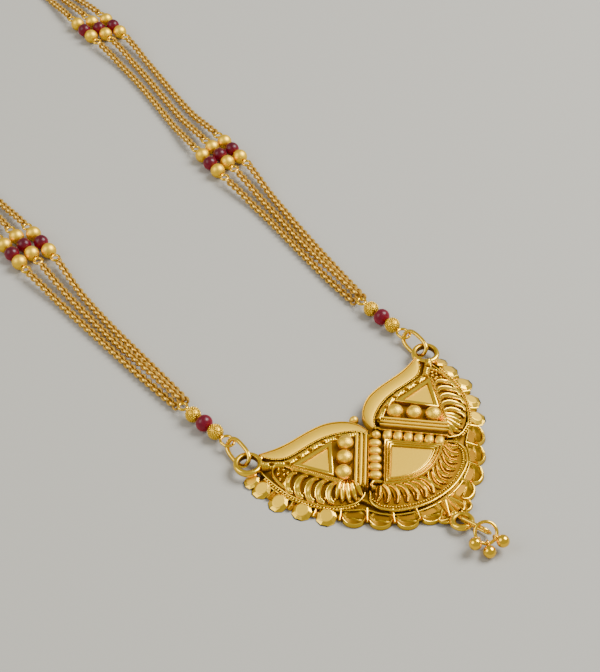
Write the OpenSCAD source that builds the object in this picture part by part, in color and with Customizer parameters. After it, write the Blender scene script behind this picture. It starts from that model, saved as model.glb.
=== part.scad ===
// Three-strand necklace laid out on a table, pendant towards -Y.
// Origin: on the table under the middle of the pendant's flat back.

/* [Pendant] */
// Distance between the centres of the two lug holes
lug_span = 40; // [39.6:0.1:40.4]
// Height of the rim of the leaves above the table
rim_h = 1.4; // [1.2:0.1:1.6]
// Height of the petal edge
petal_h = 0.5; // [0.4:0.05:0.7]
// Radius of a petal
petal_r = 1.6; // [1.5:0.05:1.7]
// Height of the polished crescent bands
band_h = 2.4; // [2.2:0.1:2.6]
// Height of the step inside the rim
step_h = 2.1; // [1.9:0.1:2.3]
// Height of the raised field of each leaf
field_h = 2.8; // [2.6:0.1:3]
// Height of the frames and bars
frame_h = 3.4; // [3.3:0.1:3.6]
// Depth of the sunk panel inside a frame
panel_depth = 0.5; // [0.3:0.1:0.6]
// Diameter of the large round grains
grain_d = 2.76; // [2.5:0.02:2.8]
// Diameter of the small round grains
small_grain_d = 1.7; // [1.5:0.05:1.8]

/* [Lugs and rings] */
// Outer diameter of a lug
lug_outer = 4.95; // [4.8:0.05:5.1]
// Diameter of the hole in a lug
lug_hole = 3.1; // [3:0.05:3.2]
// Thickness of a lug
lug_h = 1.2; // [1:0.1:1.3]
// Wire of the jump rings in the lugs
ring_wire = 0.7; // [0.6:0.05:0.75]
// Wire of the looped pins that carry the beads
pin_wire = 0.5; // [0.4:0.05:0.55]

/* [Beads] */
// Diameter of a plain gold bead
gold_bead_d = 2.9; // [2.7:0.05:2.9]
// Diameter of a red bead between two gold ones
red_bead_d = 2.8; // [2.6:0.05:2.9]
// Diameter of a grained bead beside the pendant
grain_bead_d = 2.8; // [2.6:0.05:2.8]
// Diameter of the red bead beside the pendant
front_red_d = 3; // [2.8:0.05:3]
// Bore of every bead
bead_bore = 0.7; // [0.66:0.02:0.9]
// Distance from bead to bead in a station
bead_pitch = 3; // [3:0.02:3.1]
// Distance between the chains at a station
strand_gap = 3.05; // [3:0.05:3.2]

/* [Chains and clasp] */
// Width of one chain
strand_d = 1.3; // [1.1:0.05:1.3]
// Wire of the two end rings
end_ring_wire = 0.6; // [0.5:0.05:0.6]
// Length of the clasp's barrel
clasp_len = 9; // [7:0.5:9]
// Diameter of the clasp's barrel
clasp_d = 3.4; // [2.8:0.1:3.4]

/* [Drop] */
// Diameter of a drop ball
drop_ball_d = 2.12; // [2.04:0.02:2.14]
// Wire of the drop's ring and link
drop_wire = 0.56; // [0.44:0.02:0.56]

/* [Hidden] */
SIDES = ["left", "right"];

GOLD = "goldenrod";
PALE_GOLD = "khaki";
RED = "firebrick";

// Outlines of the pendant's right half, columns x and y. The left half is their mirror image.
// Crescent band, outer edge from the lug round to the notch
BAND_OUTER = [[17.7, 12.1], [15, 11.4], [12.5, 11.05], [10, 10.95], [7.8, 10.85], [5.5, 10.5],
    [3.9, 9.9], [2.5, 9], [1.4, 7.9], [0.75, 6.6], [0.5, 5.4], [0.45, 4.4]];
// Crescent band, inner edge from the notch back to the lug
BAND_INNER = [[0.95, 4.2], [1.4, 5], [2.1, 5.9], [3.2, 6.7], [4.4, 7.3], [5.6, 7.8], [7.5, 8.3],
    [9.5, 8.5], [12.4, 8.55], [14.4, 8.7], [15.6, 9.2], [16.6, 10.1], [17.3, 11.2]];
// Base plate under the leaves, from the notch over the side leaf to the bottom of the centre leaf
PLATE = [[0, 4.4], [1.1, 6.4], [2.4, 8.2], [4.2, 9.2], [7.5, 9.9], [12.5, 10.1], [16.6, 10.9],
    [18.1, 10.9], [19.2, 10.1], [19, 6], [18.3, 2], [16.7, -1.2], [14.7, -3.4], [13, -4.5], [10.9, -5.2],
    [10.1, -7], [9.4, -8.8], [7.6, -10.65], [4.8, -12.1], [2.4, -12.8], [0, -13]];
// Thin skirt that carries the petals
SKIRT = [[0, 5], [8, 8], [17, 9.6], [20.9, 9], [20.9, 6], [20.2, 2.5], [18.5, -0.9], [16.5, -4.3],
    [13.3, -7.1], [10.6, -10], [7.5, -12.7], [3.9, -14.2], [0, -15]];
// Raised field of a side leaf
FIELD = [[2.1, 4.9], [3.6, 6.3], [6, 7.4], [9.5, 8], [15, 8.2], [16.2, 7.2], [13.5, 1.2], [10.9, -2.2],
    [9.2, -3.5]];
// Step between the rim and the field of a side leaf
STEP = [[3, 6], [10, 8.7], [16.5, 9], [17.7, 6], [17.1, 2.4], [15.7, -0.6], [13.9, -2.6], [10.4, -4.2]];
// Step under the centre leaf
CENTRE_STEP = [[0, 4], [9.6, -4.6], [9.2, -7.2], [8.5, -8.6], [6.9, -10], [4.4, -11.2], [0, -12]];
// Petals, columns x and y
PETALS = [[21.1, 7.2], [20.8, 3.3], [19, -0.5], [16.8, -3.9], [13.7, -7], [10.7, -10.1], [7.4, -12.9], [3.8, -14.5]];
// Large grains, columns x and y
GRAINS = [[5.6, 4.25], [7.8, 2], [10.05, -0.3]];
// Sunk triangle, its three outer corners
TRIANGLE = [[7.1, 6], [15.4, 6.2], [11.8, 0.1]];
// Three bars, from and to
BAR_FROM = [2.1, 4.2];
BAR_TO = [9.9, -4.2];
bar_pitch = 0.72;
bar_w = 0.5;
// Row of small grains, from and to
ROW_FROM = [1.45, 1.65];
ROW_TO = [7.2, -4.9];
row_count = 6;
// Centre window: top corner, side corner, and lowest point of the frame's arc
WINDOW_TOP = [0, 0.9];
WINDOW_SIDE = [6.6, -6.2];
WINDOW_LOW = [0, -8.9];
frame_w = 0.95;
// Grain in the notch and grain over the window
NOTCH_GRAIN = [0.1, 8.7];
TOP_GRAIN = [0, 2.9];
// Eye at the bottom of the pendant: centre, tube radius, ring radius and its lean to the front
EYE = [-1.3, -18.95, 1.05];
eye_tube = 0.55;
eye_r = 1.5;
eye_lean = 10;

lug_x = lug_span / 2;
lug_y = 12;
lug_z = 1.0;

// Jump rings in the lugs: near end in the lug, far end in the pin's loop, half width and roll
LUG_RING_NEAR = [[-19.9, 12.35, 1.6], [20.1, 12.35, 1.6]];
LUG_RING_FAR = [[-19.25, 18.02, 1.6], [20.75, 18.02, 1.6]];
lug_ring_half = 1.4;
lug_ring_roll = -52;

// Front pins: start in the jump ring and end where the chains gather
PIN_START = [[-19.2, 17.18, 1.5], [20.75, 17.18, 1.5]];
PIN_END = [[-20.2, 30.3, 1.5], [20.65, 30.3, 1.5]];
pin_loop_len = 2.45;
pin_loop_half = 1;
small_loop_r = 0.75;
// Places along a front pin, from its start: three beads and the middle of the far loop
FRONT_BEADS = [4.15, 6.95, 9.75];
front_loop_at = 12.35;

// Stations, columns x, y, heading from +Y towards +X in degrees, and how far each of the
// three beads is ahead of its row
STATIONS = [
    [[-17.5, 82, 5, [-0.3, 0.6, -0.5]],
     [-12.2, 137.2, 6, [0.4, -0.3, 0.2]],
     [-5, 192.2, 10, [-0.2, 0.3, 0]]],
    [[28.1, 80.3, 7, [-0.9, 0.4, 0.6]],
     [36.2, 134.4, 5, [1.1, 0, -1]],
     [37.2, 189.9, -4, [0, 0.4, -0.3]]]];
// Gather of the three chains behind the front pin, columns x, y and heading, then the sideways
// place and height of each chain there
GATHER = [[-19.55, 30.95, 1], [21.15, 30.95, 6]];
GATHER_SIDE = [-1.05, 0, 1.05];
GATHER_HIGH = [0.75, 1.95, 0.75];
// Angles by which the outer chains spread apart at the gather and at a station
gather_spread = 3;
station_spread = 6;
// Parts of a run over which a chain comes down from its start and goes up to its end
EASE_FIRST = [0.2, 0.55, 0.2];
ease_rest = 0.22;

// Clasp and end rings
CLASP = [17, 222, 1.75];
clasp_eye_r = 1.0;
clasp_eye_wire = 0.7;
end_ring_r = 1.7;
end_ring_z = 1.5;
END_SIDE = [-1.5, 0, 1.5];

gap = 0.3;
axis_z = gold_bead_d / 2;
station_half = bead_pitch + gold_bead_d / 2;
station_loop_at = station_half + 0.1 + pin_wire / 2 + small_loop_r;
station_end = station_loop_at + small_loop_r + pin_wire / 2 + gap;
strand_low = strand_d / 2 + 0.01;
strand_rings = 10;
strand_sides = 8;

eye_x = CLASP[0] - clasp_len / 2 - clasp_eye_r + 0.2;
end_ring_x = eye_x - end_ring_r;

// Smooth open curve through the given points, steps pieces between two of them
function between(a, b, c, d, t) =
    0.5 * (2 * b + (c - a) * t + (2 * a - 5 * b + 4 * c - d) * t * t + (3 * b - a - 3 * c + d) * t * t * t);
function smooth(p, steps) = [
    for (i = [0:len(p) - 2]) for (k = [0:steps - 1])
        between(p[max(i - 1, 0)], p[i], p[i + 1], p[min(i + 2, len(p) - 1)], k / steps),
    p[len(p) - 1]];

// The right half's points, then their mirror image back along the left half
function both(p) = concat(p, [for (i = [len(p) - 1:-1:0]) if (abs(p[i][0]) > 0.001) [-p[i][0], p[i][1]]]);

function unit(v) = v / norm(v);
function heading(a) = [sin(a), cos(a), 0];
function across(a) = [cos(a), -sin(a), 0];

// One point of a cubic curve from a to b that leaves along ta and arrives along tb
function bow(a, ta, b, tb, t) =
    let (h = norm(b - a) * 0.38)
    pow(1 - t, 3) * a + 3 * pow(1 - t, 2) * t * (a + ta * h) + 3 * (1 - t) * t * t * (b - tb * h) + t * t * t * b;

// Height of a chain: za at its start and zb at its end, down on the table between them
function ease(t) = t <= 0 ? 0 : t >= 1 ? 1 : t * t * (3 - 2 * t);
function height(za, zb, ra, rb, t) = max(
    za + (strand_low - za) * ease(t / ra), zb + (strand_low - zb) * ease((1 - t) / rb));

function chain_route(a, ta, b, tb, ra) = [
    for (i = [0:strand_rings - 1])
        let (t = i / (strand_rings - 1), p = bow(a, ta, b, tb, t))
        [p[0], p[1], height(a[2], b[2], ra, ease_rest, t)]];

// Bead place k of a station, at the given distance ahead of its row
function station_point(st, k, ahead) =
    [st[0], st[1], axis_z] + across(st[2]) * (k - 1) * strand_gap + heading(st[2]) * (st[3][k] + ahead);

function chain_start(s, g, k) = g == 0
    ? [GATHER[s][0], GATHER[s][1], GATHER_HIGH[k]] + across(GATHER[s][2]) * GATHER_SIDE[k]
    : station_point(STATIONS[s][g - 1], k, station_end);
function chain_start_dir(s, g, k) = g == 0
    ? heading(GATHER[s][2] + (k - 1) * gather_spread)
    : heading(STATIONS[s][g - 1][2] - (k - 1) * station_spread / 2);
function chain_end(s, g, k) = g == 3
    ? [CLASP[0], CLASP[1], end_ring_z] + (s == 0 ? -1 : 1)
        * [CLASP[0] - end_ring_x + end_ring_r + end_ring_wire / 2 + gap, END_SIDE[k], 0]
    : station_point(STATIONS[s][g], k, -station_end);
function chain_end_dir(s, g, k) = g == 3
    ? [s == 0 ? 1 : -1, 0, 0]
    : heading(STATIONS[s][g][2] + (k - 1) * (g == 0 ? station_spread : station_spread / 2));

// Puts its children at a, with their X axis towards b and turned about it by roll
module along(a, b, roll = 0) {
    d = b - a;
    translate(a)
        rotate([0, -asin(d[2] / norm(d)), atan2(d[1], d[0])])
            rotate([roll, 0, 0])
                children();
}

module half_torus(r, wire) {
    rotate_extrude(angle = 180, $fn = 48)
        translate([r, 0])
            circle(d = wire, $fn = 24);
}

// Oval ring in its own XY plane, from the origin to len along X, measured on the wire's middle
module oval_ring(len, half, wire) {
    translate([half, 0, 0]) rotate([0, 0, 90]) half_torus(half, wire);
    translate([len - half, 0, 0]) rotate([0, 0, -90]) half_torus(half, wire);
    for (side = [-1, 1])
        translate([half, side * half, 0])
            rotate([0, 90, 0])
                cylinder(h = len - 2 * half, d = wire, $fn = 24);
}

module torus(r, wire) {
    rotate_extrude($fn = 48)
        translate([r, 0])
            circle(d = wire, $fn = 24);
}

module mirrored() {
    children();
    mirror([1, 0, 0]) children();
}

// Tube along a route: rings of points square to it, joined by side faces and two ends
module tube(route, d, sides) {
    n = len(route);
    points = [for (i = [0:n - 1])
        let (t = unit(route[min(i + 1, n - 1)] - route[max(i - 1, 0)]),
             side = unit(cross(t, [0, 0, 1])),
             up = cross(side, t))
        for (k = [0:sides - 1])
            route[i] + (side * cos(360 * (k + 0.5) / sides) + up * sin(360 * (k + 0.5) / sides))
                * d / 2 / cos(180 / sides)];
    walls = [for (i = [0:n - 2]) for (k = [0:sides - 1])
        let (a = i * sides + k, b = i * sides + (k + 1) % sides)
        [a, b, b + sides, a + sides]];
    polyhedron(points, concat(walls,
        [[for (k = [sides - 1:-1:0]) k]],
        [[for (k = [0:sides - 1]) (n - 1) * sides + k]]));
}

module bead(d, length) {
    rotate([0, 90, 0])
        difference() {
            intersection() {
                sphere(d = d, $fn = 48);
                cube([d + 1, d + 1, length], center = true);
            }
            cylinder(h = d + 1, d = bead_bore, center = true, $fn = 32);
        }
}

// Lug: a flat ring with softened edges and a true bore
module lug() {
    r_in = lug_hole / 2;
    r_out = lug_outer / 2;
    soft = 0.25;
    translate([lug_x, lug_y, lug_z])
        rotate_extrude($fn = 64)
            polygon([[r_in, soft / 2], [r_in + soft / 2, 0], [r_out - soft, 0], [r_out, soft],
                [r_out, lug_h - soft], [r_out - soft, lug_h], [r_in + soft, lug_h], [r_in, lug_h - soft]]);
}

module sunk_frame(outline, w) {
    difference() {
        linear_extrude(frame_h) polygon(outline);
        translate([0, 0, frame_h - panel_depth])
            linear_extrude(1) polygon(w);
    }
}

// Points of the centre window's arc between its two side corners, lowest in the middle
function window_arc(side, low, n) = [
    for (i = [0:n]) let (u = 1 - 2 * i / n) [side[0] * u, side[1] + (low[1] - side[1]) * (1 - u * u)]];

// Corners of a triangle moved towards its middle
function shrink(p, f) = let (m = (p[0] + p[1] + p[2]) / 3) [for (q = p) m + (q - m) * f];

module side_leaf() {
    band = concat(smooth(BAND_OUTER, 3), smooth(BAND_INNER, 3));
    linear_extrude(band_h) polygon(band);
    translate([0, 0, 0.4]) linear_extrude(step_h - 0.4) polygon(STEP);
    translate([0, 0, 0.5]) linear_extrude(field_h - 0.5) polygon(FIELD);
    sunk_frame(TRIANGLE, shrink(TRIANGLE, 0.62));
    for (g = GRAINS) translate([g[0], g[1], 3.3]) sphere(d = grain_d, $fn = 48);
    bar_len = norm(BAR_TO - BAR_FROM);
    bar_angle = atan2(BAR_TO[1] - BAR_FROM[1], BAR_TO[0] - BAR_FROM[0]);
    for (k = [-1:1])
        translate([BAR_FROM[0], BAR_FROM[1], 0.6])
            rotate([0, 0, bar_angle])
                translate([0, k * bar_pitch - bar_w / 2, 0])
                    cube([bar_len, bar_w, frame_h - 0.1 - 0.6]);
    for (i = [0:row_count - 1]) {
        p = ROW_FROM + (ROW_TO - ROW_FROM) * i / (row_count - 1);
        translate([p[0], p[1], 2.15]) sphere(d = small_grain_d, $fn = 32);
    }
    for (p = PETALS) translate([p[0], p[1], 0]) cylinder(h = petal_h, r = petal_r, $fn = 40);
    lug();
}

module centre_leaf() {
    outer = concat([WINDOW_TOP], window_arc(WINDOW_SIDE, WINDOW_LOW, 16));
    inner = concat([WINDOW_TOP - [0, 2 * frame_w]],
        window_arc(WINDOW_SIDE - [2.1, -0.35], WINDOW_LOW + [0, 1.6 * frame_w], 12));
    sunk_frame(outer, inner);
    translate([0, 0, 0.3]) linear_extrude(step_h - 0.4) polygon(both(CENTRE_STEP));
    translate([NOTCH_GRAIN[0], NOTCH_GRAIN[1], 1]) sphere(d = 1.8, $fn = 32);
    translate([TOP_GRAIN[0], TOP_GRAIN[1], 2.15]) sphere(d = small_grain_d, $fn = 32);
}

module pendant() {
    color(GOLD) {
        linear_extrude(rim_h) polygon(both(PLATE));
        linear_extrude(petal_h - 0.1) polygon(both(SKIRT));
        translate([0, NOTCH_GRAIN[1] - 3.4, 0]) linear_extrude(0.9) square([1.4, 6], center = true);
        mirrored() side_leaf();
        centre_leaf();
        translate([0, -15.9, 0]) cylinder(h = petal_h, r = petal_r, $fn = 40);
        translate(EYE) rotate([-eye_lean, 0, 0]) torus(eye_r, 2 * eye_tube);
        translate([-1, -16.9, 0.66]) sphere(d = 1.3, $fn = 32);
    }
}

// Drop: a long link from the eye, a ring that leans back, and three balls with their own loops
LINK_NEAR = [-1.16, -18.43, 1.15];
LINK_FAR = [0.13, -23.72, 1.5];
link_half = 1;
link_roll = 117;
DROP_RING = [-0.73, -23.62, 2.14];
drop_ring_r = 1.73;
drop_lean = 34.5;
DROP_TURN = -40.3;
DROP_BALLS = [[0.18, -26.47, 2], [-2.35, -26.15, 1.08], [-3.5, -24.05, 2]];
// Place of each ball's loop round the ring, in degrees from the ring's right side
DROP_ANGLES = [331, 277, 225];
drop_loop_r = 0.5;
drop_loop_wire = 0.28;

// A point of the leaning drop ring
function drop_rim(a) = DROP_RING + drop_ring_r * (
    cos(a) * [cos(DROP_TURN), sin(DROP_TURN), 0]
    + sin(a) * [-sin(DROP_TURN) * cos(drop_lean), cos(DROP_TURN) * cos(drop_lean), sin(drop_lean)]);

module drop_link() {
    color(GOLD)
        along(LINK_NEAR, LINK_FAR, link_roll)
            oval_ring(norm(LINK_FAR - LINK_NEAR), link_half, drop_wire);
}

module drop_ring() {
    color(GOLD)
        translate(DROP_RING)
            rotate([0, 0, DROP_TURN])
                rotate([drop_lean, 0, 0])
                    torus(drop_ring_r, drop_wire);
}

module drop_ball(i) {
    ball = DROP_BALLS[i];
    rim = drop_rim(DROP_ANGLES[i]);
    reach = norm(rim - ball);
    color(GOLD)
        along(ball, rim, 0) {
            sphere(d = drop_ball_d, $fn = 48);
            translate([reach, 0, 0])
                rotate([90, 0, 0])
                    torus(drop_loop_r, drop_loop_wire);
        }
}

module lug_ring(s) {
    color(GOLD)
        along(LUG_RING_NEAR[s], LUG_RING_FAR[s], lug_ring_roll)
            oval_ring(norm(LUG_RING_FAR[s] - LUG_RING_NEAR[s]), lug_ring_half, ring_wire);
}

module front_pin(s) {
    color(GOLD)
        along(PIN_START[s], PIN_END[s]) {
            oval_ring(pin_loop_len, pin_loop_half, pin_wire);
            translate([pin_loop_len, 0, 0])
                rotate([0, 90, 0])
                    cylinder(h = front_loop_at - small_loop_r - pin_loop_len, d = pin_wire, $fn = 24);
            translate([front_loop_at, 0, 0]) torus(small_loop_r, pin_wire);
        }
}

module front_bead(s, i, d, length) {
    along(PIN_START[s], PIN_END[s])
        translate([FRONT_BEADS[i], 0, 0])
            bead(d, length);
}

// Places its children at every bead of one row of a station, X along the pin
module row(s, g, ahead) {
    st = STATIONS[s][g];
    for (k = [0:2])
        translate(station_point(st, k, ahead))
            rotate([0, 0, 90 - st[2]])
                children();
}

module gold_beads(s, g) {
    color(GOLD)
        for (ahead = [-bead_pitch, bead_pitch])
            row(s, g, ahead) bead(gold_bead_d, gold_bead_d);
}

module ruby_beads(s, g) {
    color(RED) row(s, g, 0) bead(red_bead_d, red_bead_d);
}

module bead_pins(s, g) {
    color(GOLD)
        row(s, g, 0) {
            shank = station_loop_at - small_loop_r;
            translate([-shank, 0, 0]) rotate([0, 90, 0]) cylinder(h = 2 * shank, d = pin_wire, $fn = 24);
            for (end = [-1, 1]) translate([end * station_loop_at, 0, 0]) torus(small_loop_r, pin_wire);
        }
}

module strands(s, g) {
    color(PALE_GOLD)
        for (k = [0:2])
            tube(chain_route(chain_start(s, g, k), chain_start_dir(s, g, k),
                    chain_end(s, g, k), chain_end_dir(s, g, k), g == 0 ? EASE_FIRST[k] : ease_rest),
                strand_d, strand_sides);
}

module end_ring(s) {
    x = s == 0 ? end_ring_x : 2 * CLASP[0] - end_ring_x;
    color(GOLD) translate([x, CLASP[1], end_ring_z]) torus(end_ring_r, end_ring_wire);
}

module clasp() {
    color(GOLD)
        translate(CLASP) {
            rotate([0, 90, 0]) cylinder(h = clasp_len, d = clasp_d, center = true, $fn = 48);
            for (end = [-1, 1])
                translate([end * (CLASP[0] - eye_x), 0, 0])
                    rotate([90, 0, 0])
                        torus(clasp_eye_r, clasp_eye_wire);
        }
}

pendant();
drop_link();
drop_ring();
for (i = [0:2]) drop_ball(i);
for (s = [0:1]) {
    side = SIDES[s];
    lug_ring(s);
    front_pin(s);
    color(GOLD) front_bead(s, 0, grain_bead_d, grain_bead_d);
    color(RED) front_bead(s, 1, front_red_d, front_red_d * 0.87);
    color(GOLD) front_bead(s, 2, grain_bead_d, grain_bead_d);
    for (g = [0:2]) {
        gold_beads(s, g);
        ruby_beads(s, g);
        bead_pins(s, g);
    }
    for (g = [0:3]) strands(s, g);
    end_ring(s);
}
clasp();
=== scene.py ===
# %% [markdown]
# # A three-strand gold necklace with a leaf pendant
# The necklace lies flat on a pale table. Its solid model is loaded first and never moved: every piece
# made here is worked out in the same millimetres and then put into metres, so it lands where the solid
# is. Pins, the small end rings and the drop keep their solid, because a bent wire is already the right
# shape. The pendant, the chains, the beads, the lug rings and the clasp get new meshes, because their
# ornament is what the eye looks at.

import bpy
import mathutils
import numpy as np
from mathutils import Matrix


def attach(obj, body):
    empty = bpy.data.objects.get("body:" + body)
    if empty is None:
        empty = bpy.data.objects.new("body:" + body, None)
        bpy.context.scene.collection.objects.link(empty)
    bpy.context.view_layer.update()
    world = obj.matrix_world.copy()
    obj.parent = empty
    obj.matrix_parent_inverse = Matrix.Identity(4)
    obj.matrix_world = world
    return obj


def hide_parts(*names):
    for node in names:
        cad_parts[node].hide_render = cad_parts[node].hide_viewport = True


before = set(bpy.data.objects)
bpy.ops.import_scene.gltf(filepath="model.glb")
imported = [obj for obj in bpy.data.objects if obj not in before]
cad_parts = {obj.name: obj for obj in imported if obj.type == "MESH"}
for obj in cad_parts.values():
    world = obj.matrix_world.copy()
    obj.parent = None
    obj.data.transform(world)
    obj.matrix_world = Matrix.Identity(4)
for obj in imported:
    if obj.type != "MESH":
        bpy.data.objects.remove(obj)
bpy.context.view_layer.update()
MM = 0.001
SIDES = ("left", "right")

# %% [markdown]
# ## The camera
# The photograph was taken from the left and in front, half way up. A camera is placed on a sphere round a
# point of the table: azimuth turns it round the table and elevation lifts it. Placing it from these few
# numbers keeps it easy to change, where dragging it by eye would not.

# %% Place the camera
AIM = np.array([7.275, 31.035, 0.0])
AZIMUTH, ELEVATION, DISTANCE = -40.29, 43.8, 286.71
LENS, SENSOR, NEAREST = 85.7, 36.0, 0.01


def toward(azimuth, elevation):
    """Unit vector from the table to a place seen at that azimuth and elevation, in degrees.

    x = sin(azimuth) cos(elevation), y = -cos(azimuth) cos(elevation), z = sin(elevation).
    """
    a, e = np.radians(azimuth), np.radians(elevation)
    return np.array([np.sin(a) * np.cos(e), -np.cos(a) * np.cos(e), np.sin(e)])


def put_in_scene(name, data):
    """A new object that shows the data, linked into the scene."""
    obj = bpy.data.objects.new(name, data)
    bpy.context.scene.collection.objects.link(obj)
    return obj


def aim_at(obj, target, azimuth, elevation, distance):
    """Puts a camera or lamp on a sphere round the target and turns its -Z axis to it."""
    back = toward(azimuth, elevation)
    right = np.cross([0, 0, 1], back)
    right /= np.linalg.norm(right)
    matrix = np.eye(4)
    matrix[:3] = np.stack([right, np.cross(back, right), back, (target + back * distance) * MM], 1)
    obj.matrix_world = mathutils.Matrix(matrix.tolist())


camera_data = bpy.data.cameras.new("camera")
camera_data.lens, camera_data.sensor_width, camera_data.clip_start = LENS, SENSOR, NEAREST
camera = put_in_scene("camera", camera_data)
aim_at(camera, AIM, AZIMUTH, ELEVATION, DISTANCE)
bpy.context.scene.camera = camera
print("camera at", np.round(AIM + toward(AZIMUTH, ELEVATION) * DISTANCE), "mm")

# %% [markdown]
# ## Writing materials as sums
# A shader is a small calculation on every point of the surface. Wiring it node by node hides the sum, so
# one class stands for a socket and lets Python's own + - * make the Math nodes. Everything else, such as
# a noise or a bump, comes from one function that takes the node's type, its settings and its inputs.


# %% A socket that can be calculated with
class Socket:
    """One value of a shader: the number or colour that a node gives out."""

    def __init__(self, tree, out):
        self.tree, self.out = tree, out

    def sum_of(self, operation, a, b):
        return make_node(self.tree, "ShaderNodeMath", {"operation": operation}, {0: a, 1: b})

    def __add__(self, other):
        return self.sum_of("ADD", self, other)

    def __mul__(self, other):
        return self.sum_of("MULTIPLY", self, other)

    def __sub__(self, other):
        return self.sum_of("SUBTRACT", self, other)

    def __rsub__(self, other):
        return self.sum_of("SUBTRACT", other, self)

    __radd__ = __add__
    __rmul__ = __mul__


def make_node(tree, kind, settings, inputs, out=0):
    """Any node: its settings first, then a value or a link for each named socket. Returns its output."""
    node = tree.nodes.new(kind)
    for key, value in settings.items():
        setattr(node, key, value)
    for key, value in inputs.items():
        if isinstance(value, Socket):
            tree.links.new(value.out, node.inputs[key])
        else:
            node.inputs[key].default_value = value
    return Socket(tree, node.outputs[out])


print("a shader value can be added, subtracted and multiplied")


# %% [markdown]
# ## Gold in six finishes
# The whole necklace is one yellow gold, but it doesn't look like one: panels are brushed to a matte
# satin, ridges are rubbed to a higher gloss, and the hollows between them look deep orange, where light
# bounces between walls of gold. That deep orange is painted shade. Each made piece carries a number called
# relief on its points, 0 in a hollow and 1 on a ridge, and four of the six golds turn from the painted
# shade to pale with it and grow rougher towards the hollows. A picture could hold the same colours, but a
# number worked out with the shape always lines up with it. A fine noise dents every gold but the wire's
# and the chain's a little. On the polished and the frosted one it also makes the gloss uneven, as wear does.

# %% Make the gold
PALE = (0.95, 0.60, 0.032, 1.0)
WARM = (0.85, 0.49, 0.03, 1.0)
RICH = (0.9, 0.55, 0.03, 1.0)
# The painted shade of the hollows.
HOLLOW_SHADE = (0.2, 0.094, 0.004, 1.0)
HOLLOW_ROUGHER = 0.3
WEAR_SPREAD, WEAR_LESS = 0.3, 0.12
GRAIN_DEPTH = 0.1 * MM


def new_material(name, constants):
    """A material, its node tree and its shader, with a constant on each named socket."""
    material = bpy.data.materials.new(name)
    material.use_nodes = True
    shader = material.node_tree.nodes["Principled BSDF"]
    for socket, value in constants.items():
        shader.inputs[socket].default_value = value
    return material, material.node_tree, shader


def paint_shading_by_relief(tree, shader, low, high):
    """Painted shading: Base Color = low + (high - low) * relief, darkest where relief is 0. Returns the
    relief.
    """
    level = make_node(tree, "ShaderNodeAttribute", {"attribute_name": "relief"}, {}, out=2)
    color = make_node(tree, "ShaderNodeMix", {"data_type": "RGBA"}, {0: level, 6: low, 7: high}, out=2)
    tree.links.new(color.out, shader.inputs["Base Color"])
    return level


def gold(name, high, low, rough, grain=0.0, grain_scale=2500.0, relief=False):
    """A gold: high is its colour on ridges, low the painted shade in its hollows; grain is how far a fine
    noise dents it.
    """
    constants = {"Metallic": 1.0, "Roughness": rough, "Base Color": high}
    material, tree, shader = new_material(name, constants)
    if relief:
        level = paint_shading_by_relief(tree, shader, low, high)
        tree.links.new((rough + (1 - level) * HOLLOW_ROUGHER).out, shader.inputs["Roughness"])
    if grain:
        place = make_node(tree, "ShaderNodeTexCoord", {}, {}, out=3)
        grains = {"Vector": place, "Scale": grain_scale, "Detail": 2.0}
        noise = make_node(tree, "ShaderNodeTexNoise", {}, grains)
        dents = {"Height": noise, "Strength": grain, "Distance": GRAIN_DEPTH}
        tree.links.new(make_node(tree, "ShaderNodeBump", {}, dents).out, shader.inputs["Normal"])
        if not relief:
            tree.links.new((noise * WEAR_SPREAD + (rough - WEAR_LESS)).out, shader.inputs["Roughness"])
    return material


GOLD_SATIN = gold("satin_gold", PALE, HOLLOW_SHADE, 0.46, grain=0.12, grain_scale=4000.0, relief=True)
GOLD_BRIGHT = gold("bright_gold", PALE, HOLLOW_SHADE, 0.2, grain=0.1, grain_scale=1500.0, relief=True)
GOLD_WIRE = gold("wire_gold", PALE, HOLLOW_SHADE, 0.24, relief=True)
GOLD_POLISHED = gold("polished_gold", RICH, WARM, 0.14, grain=0.08, grain_scale=1800.0)
GOLD_FROSTED = gold("frosted_gold", PALE, WARM, 0.36, grain=0.7, grain_scale=6000.0)
# The chain's darker colour is the painted shade at the ends and inner sides of its links.
GOLD_CHAIN = gold("chain_gold", (0.96, 0.61, 0.10, 1.0), (0.36, 0.17, 0.02, 1.0), 0.32, relief=True)
print("gold materials:", [m.name for m in bpy.data.materials if "gold" in m.name])

# %% [markdown]
# ## Dark red stone
# The red beads are polished stone. Their colour is painted light: painted shade on top and a painted glow
# low down, standing in for the light that goes in and comes out again. So a bead's relief is 1 at its foot
# and close to 0 at its crown, and the colour follows it.
# Light scattered under the surface softens the change; it is a single number, so it is set on the shader
# itself.

# %% Make the stone
# The stone's painted shade on top and its painted glow low down.
STONE_TOP_SHADE, STONE_GLOW = (0.05, 0.001, 0.006, 1.0), (0.42, 0.001, 0.03, 1.0)
STONE = {"Roughness": 0.3, "Specular IOR Level": 0.3, "Subsurface Weight": 0.2,
         "Subsurface Radius": (1.0, 0.15, 0.2), "Subsurface Scale": 1.2 * MM}
RUBY, ruby_tree, ruby_shader = new_material("red_stone", STONE)
paint_shading_by_relief(ruby_tree, ruby_shader, STONE_TOP_SHADE, STONE_GLOW)
print("stone:", RUBY.name)

# %% [markdown]
# ## Surfaces as grids
# Nearly everything here is a grid of points worked out at once: a profile turned round an axis, a section
# carried along a path, or a moulding, which is a section carried round an outline. A grid is easy to
# join: point (i, j) makes a face with its three neighbours. A solid also needs its open ends closed, and
# that is the same for every grid, so two helpers do it.


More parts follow.
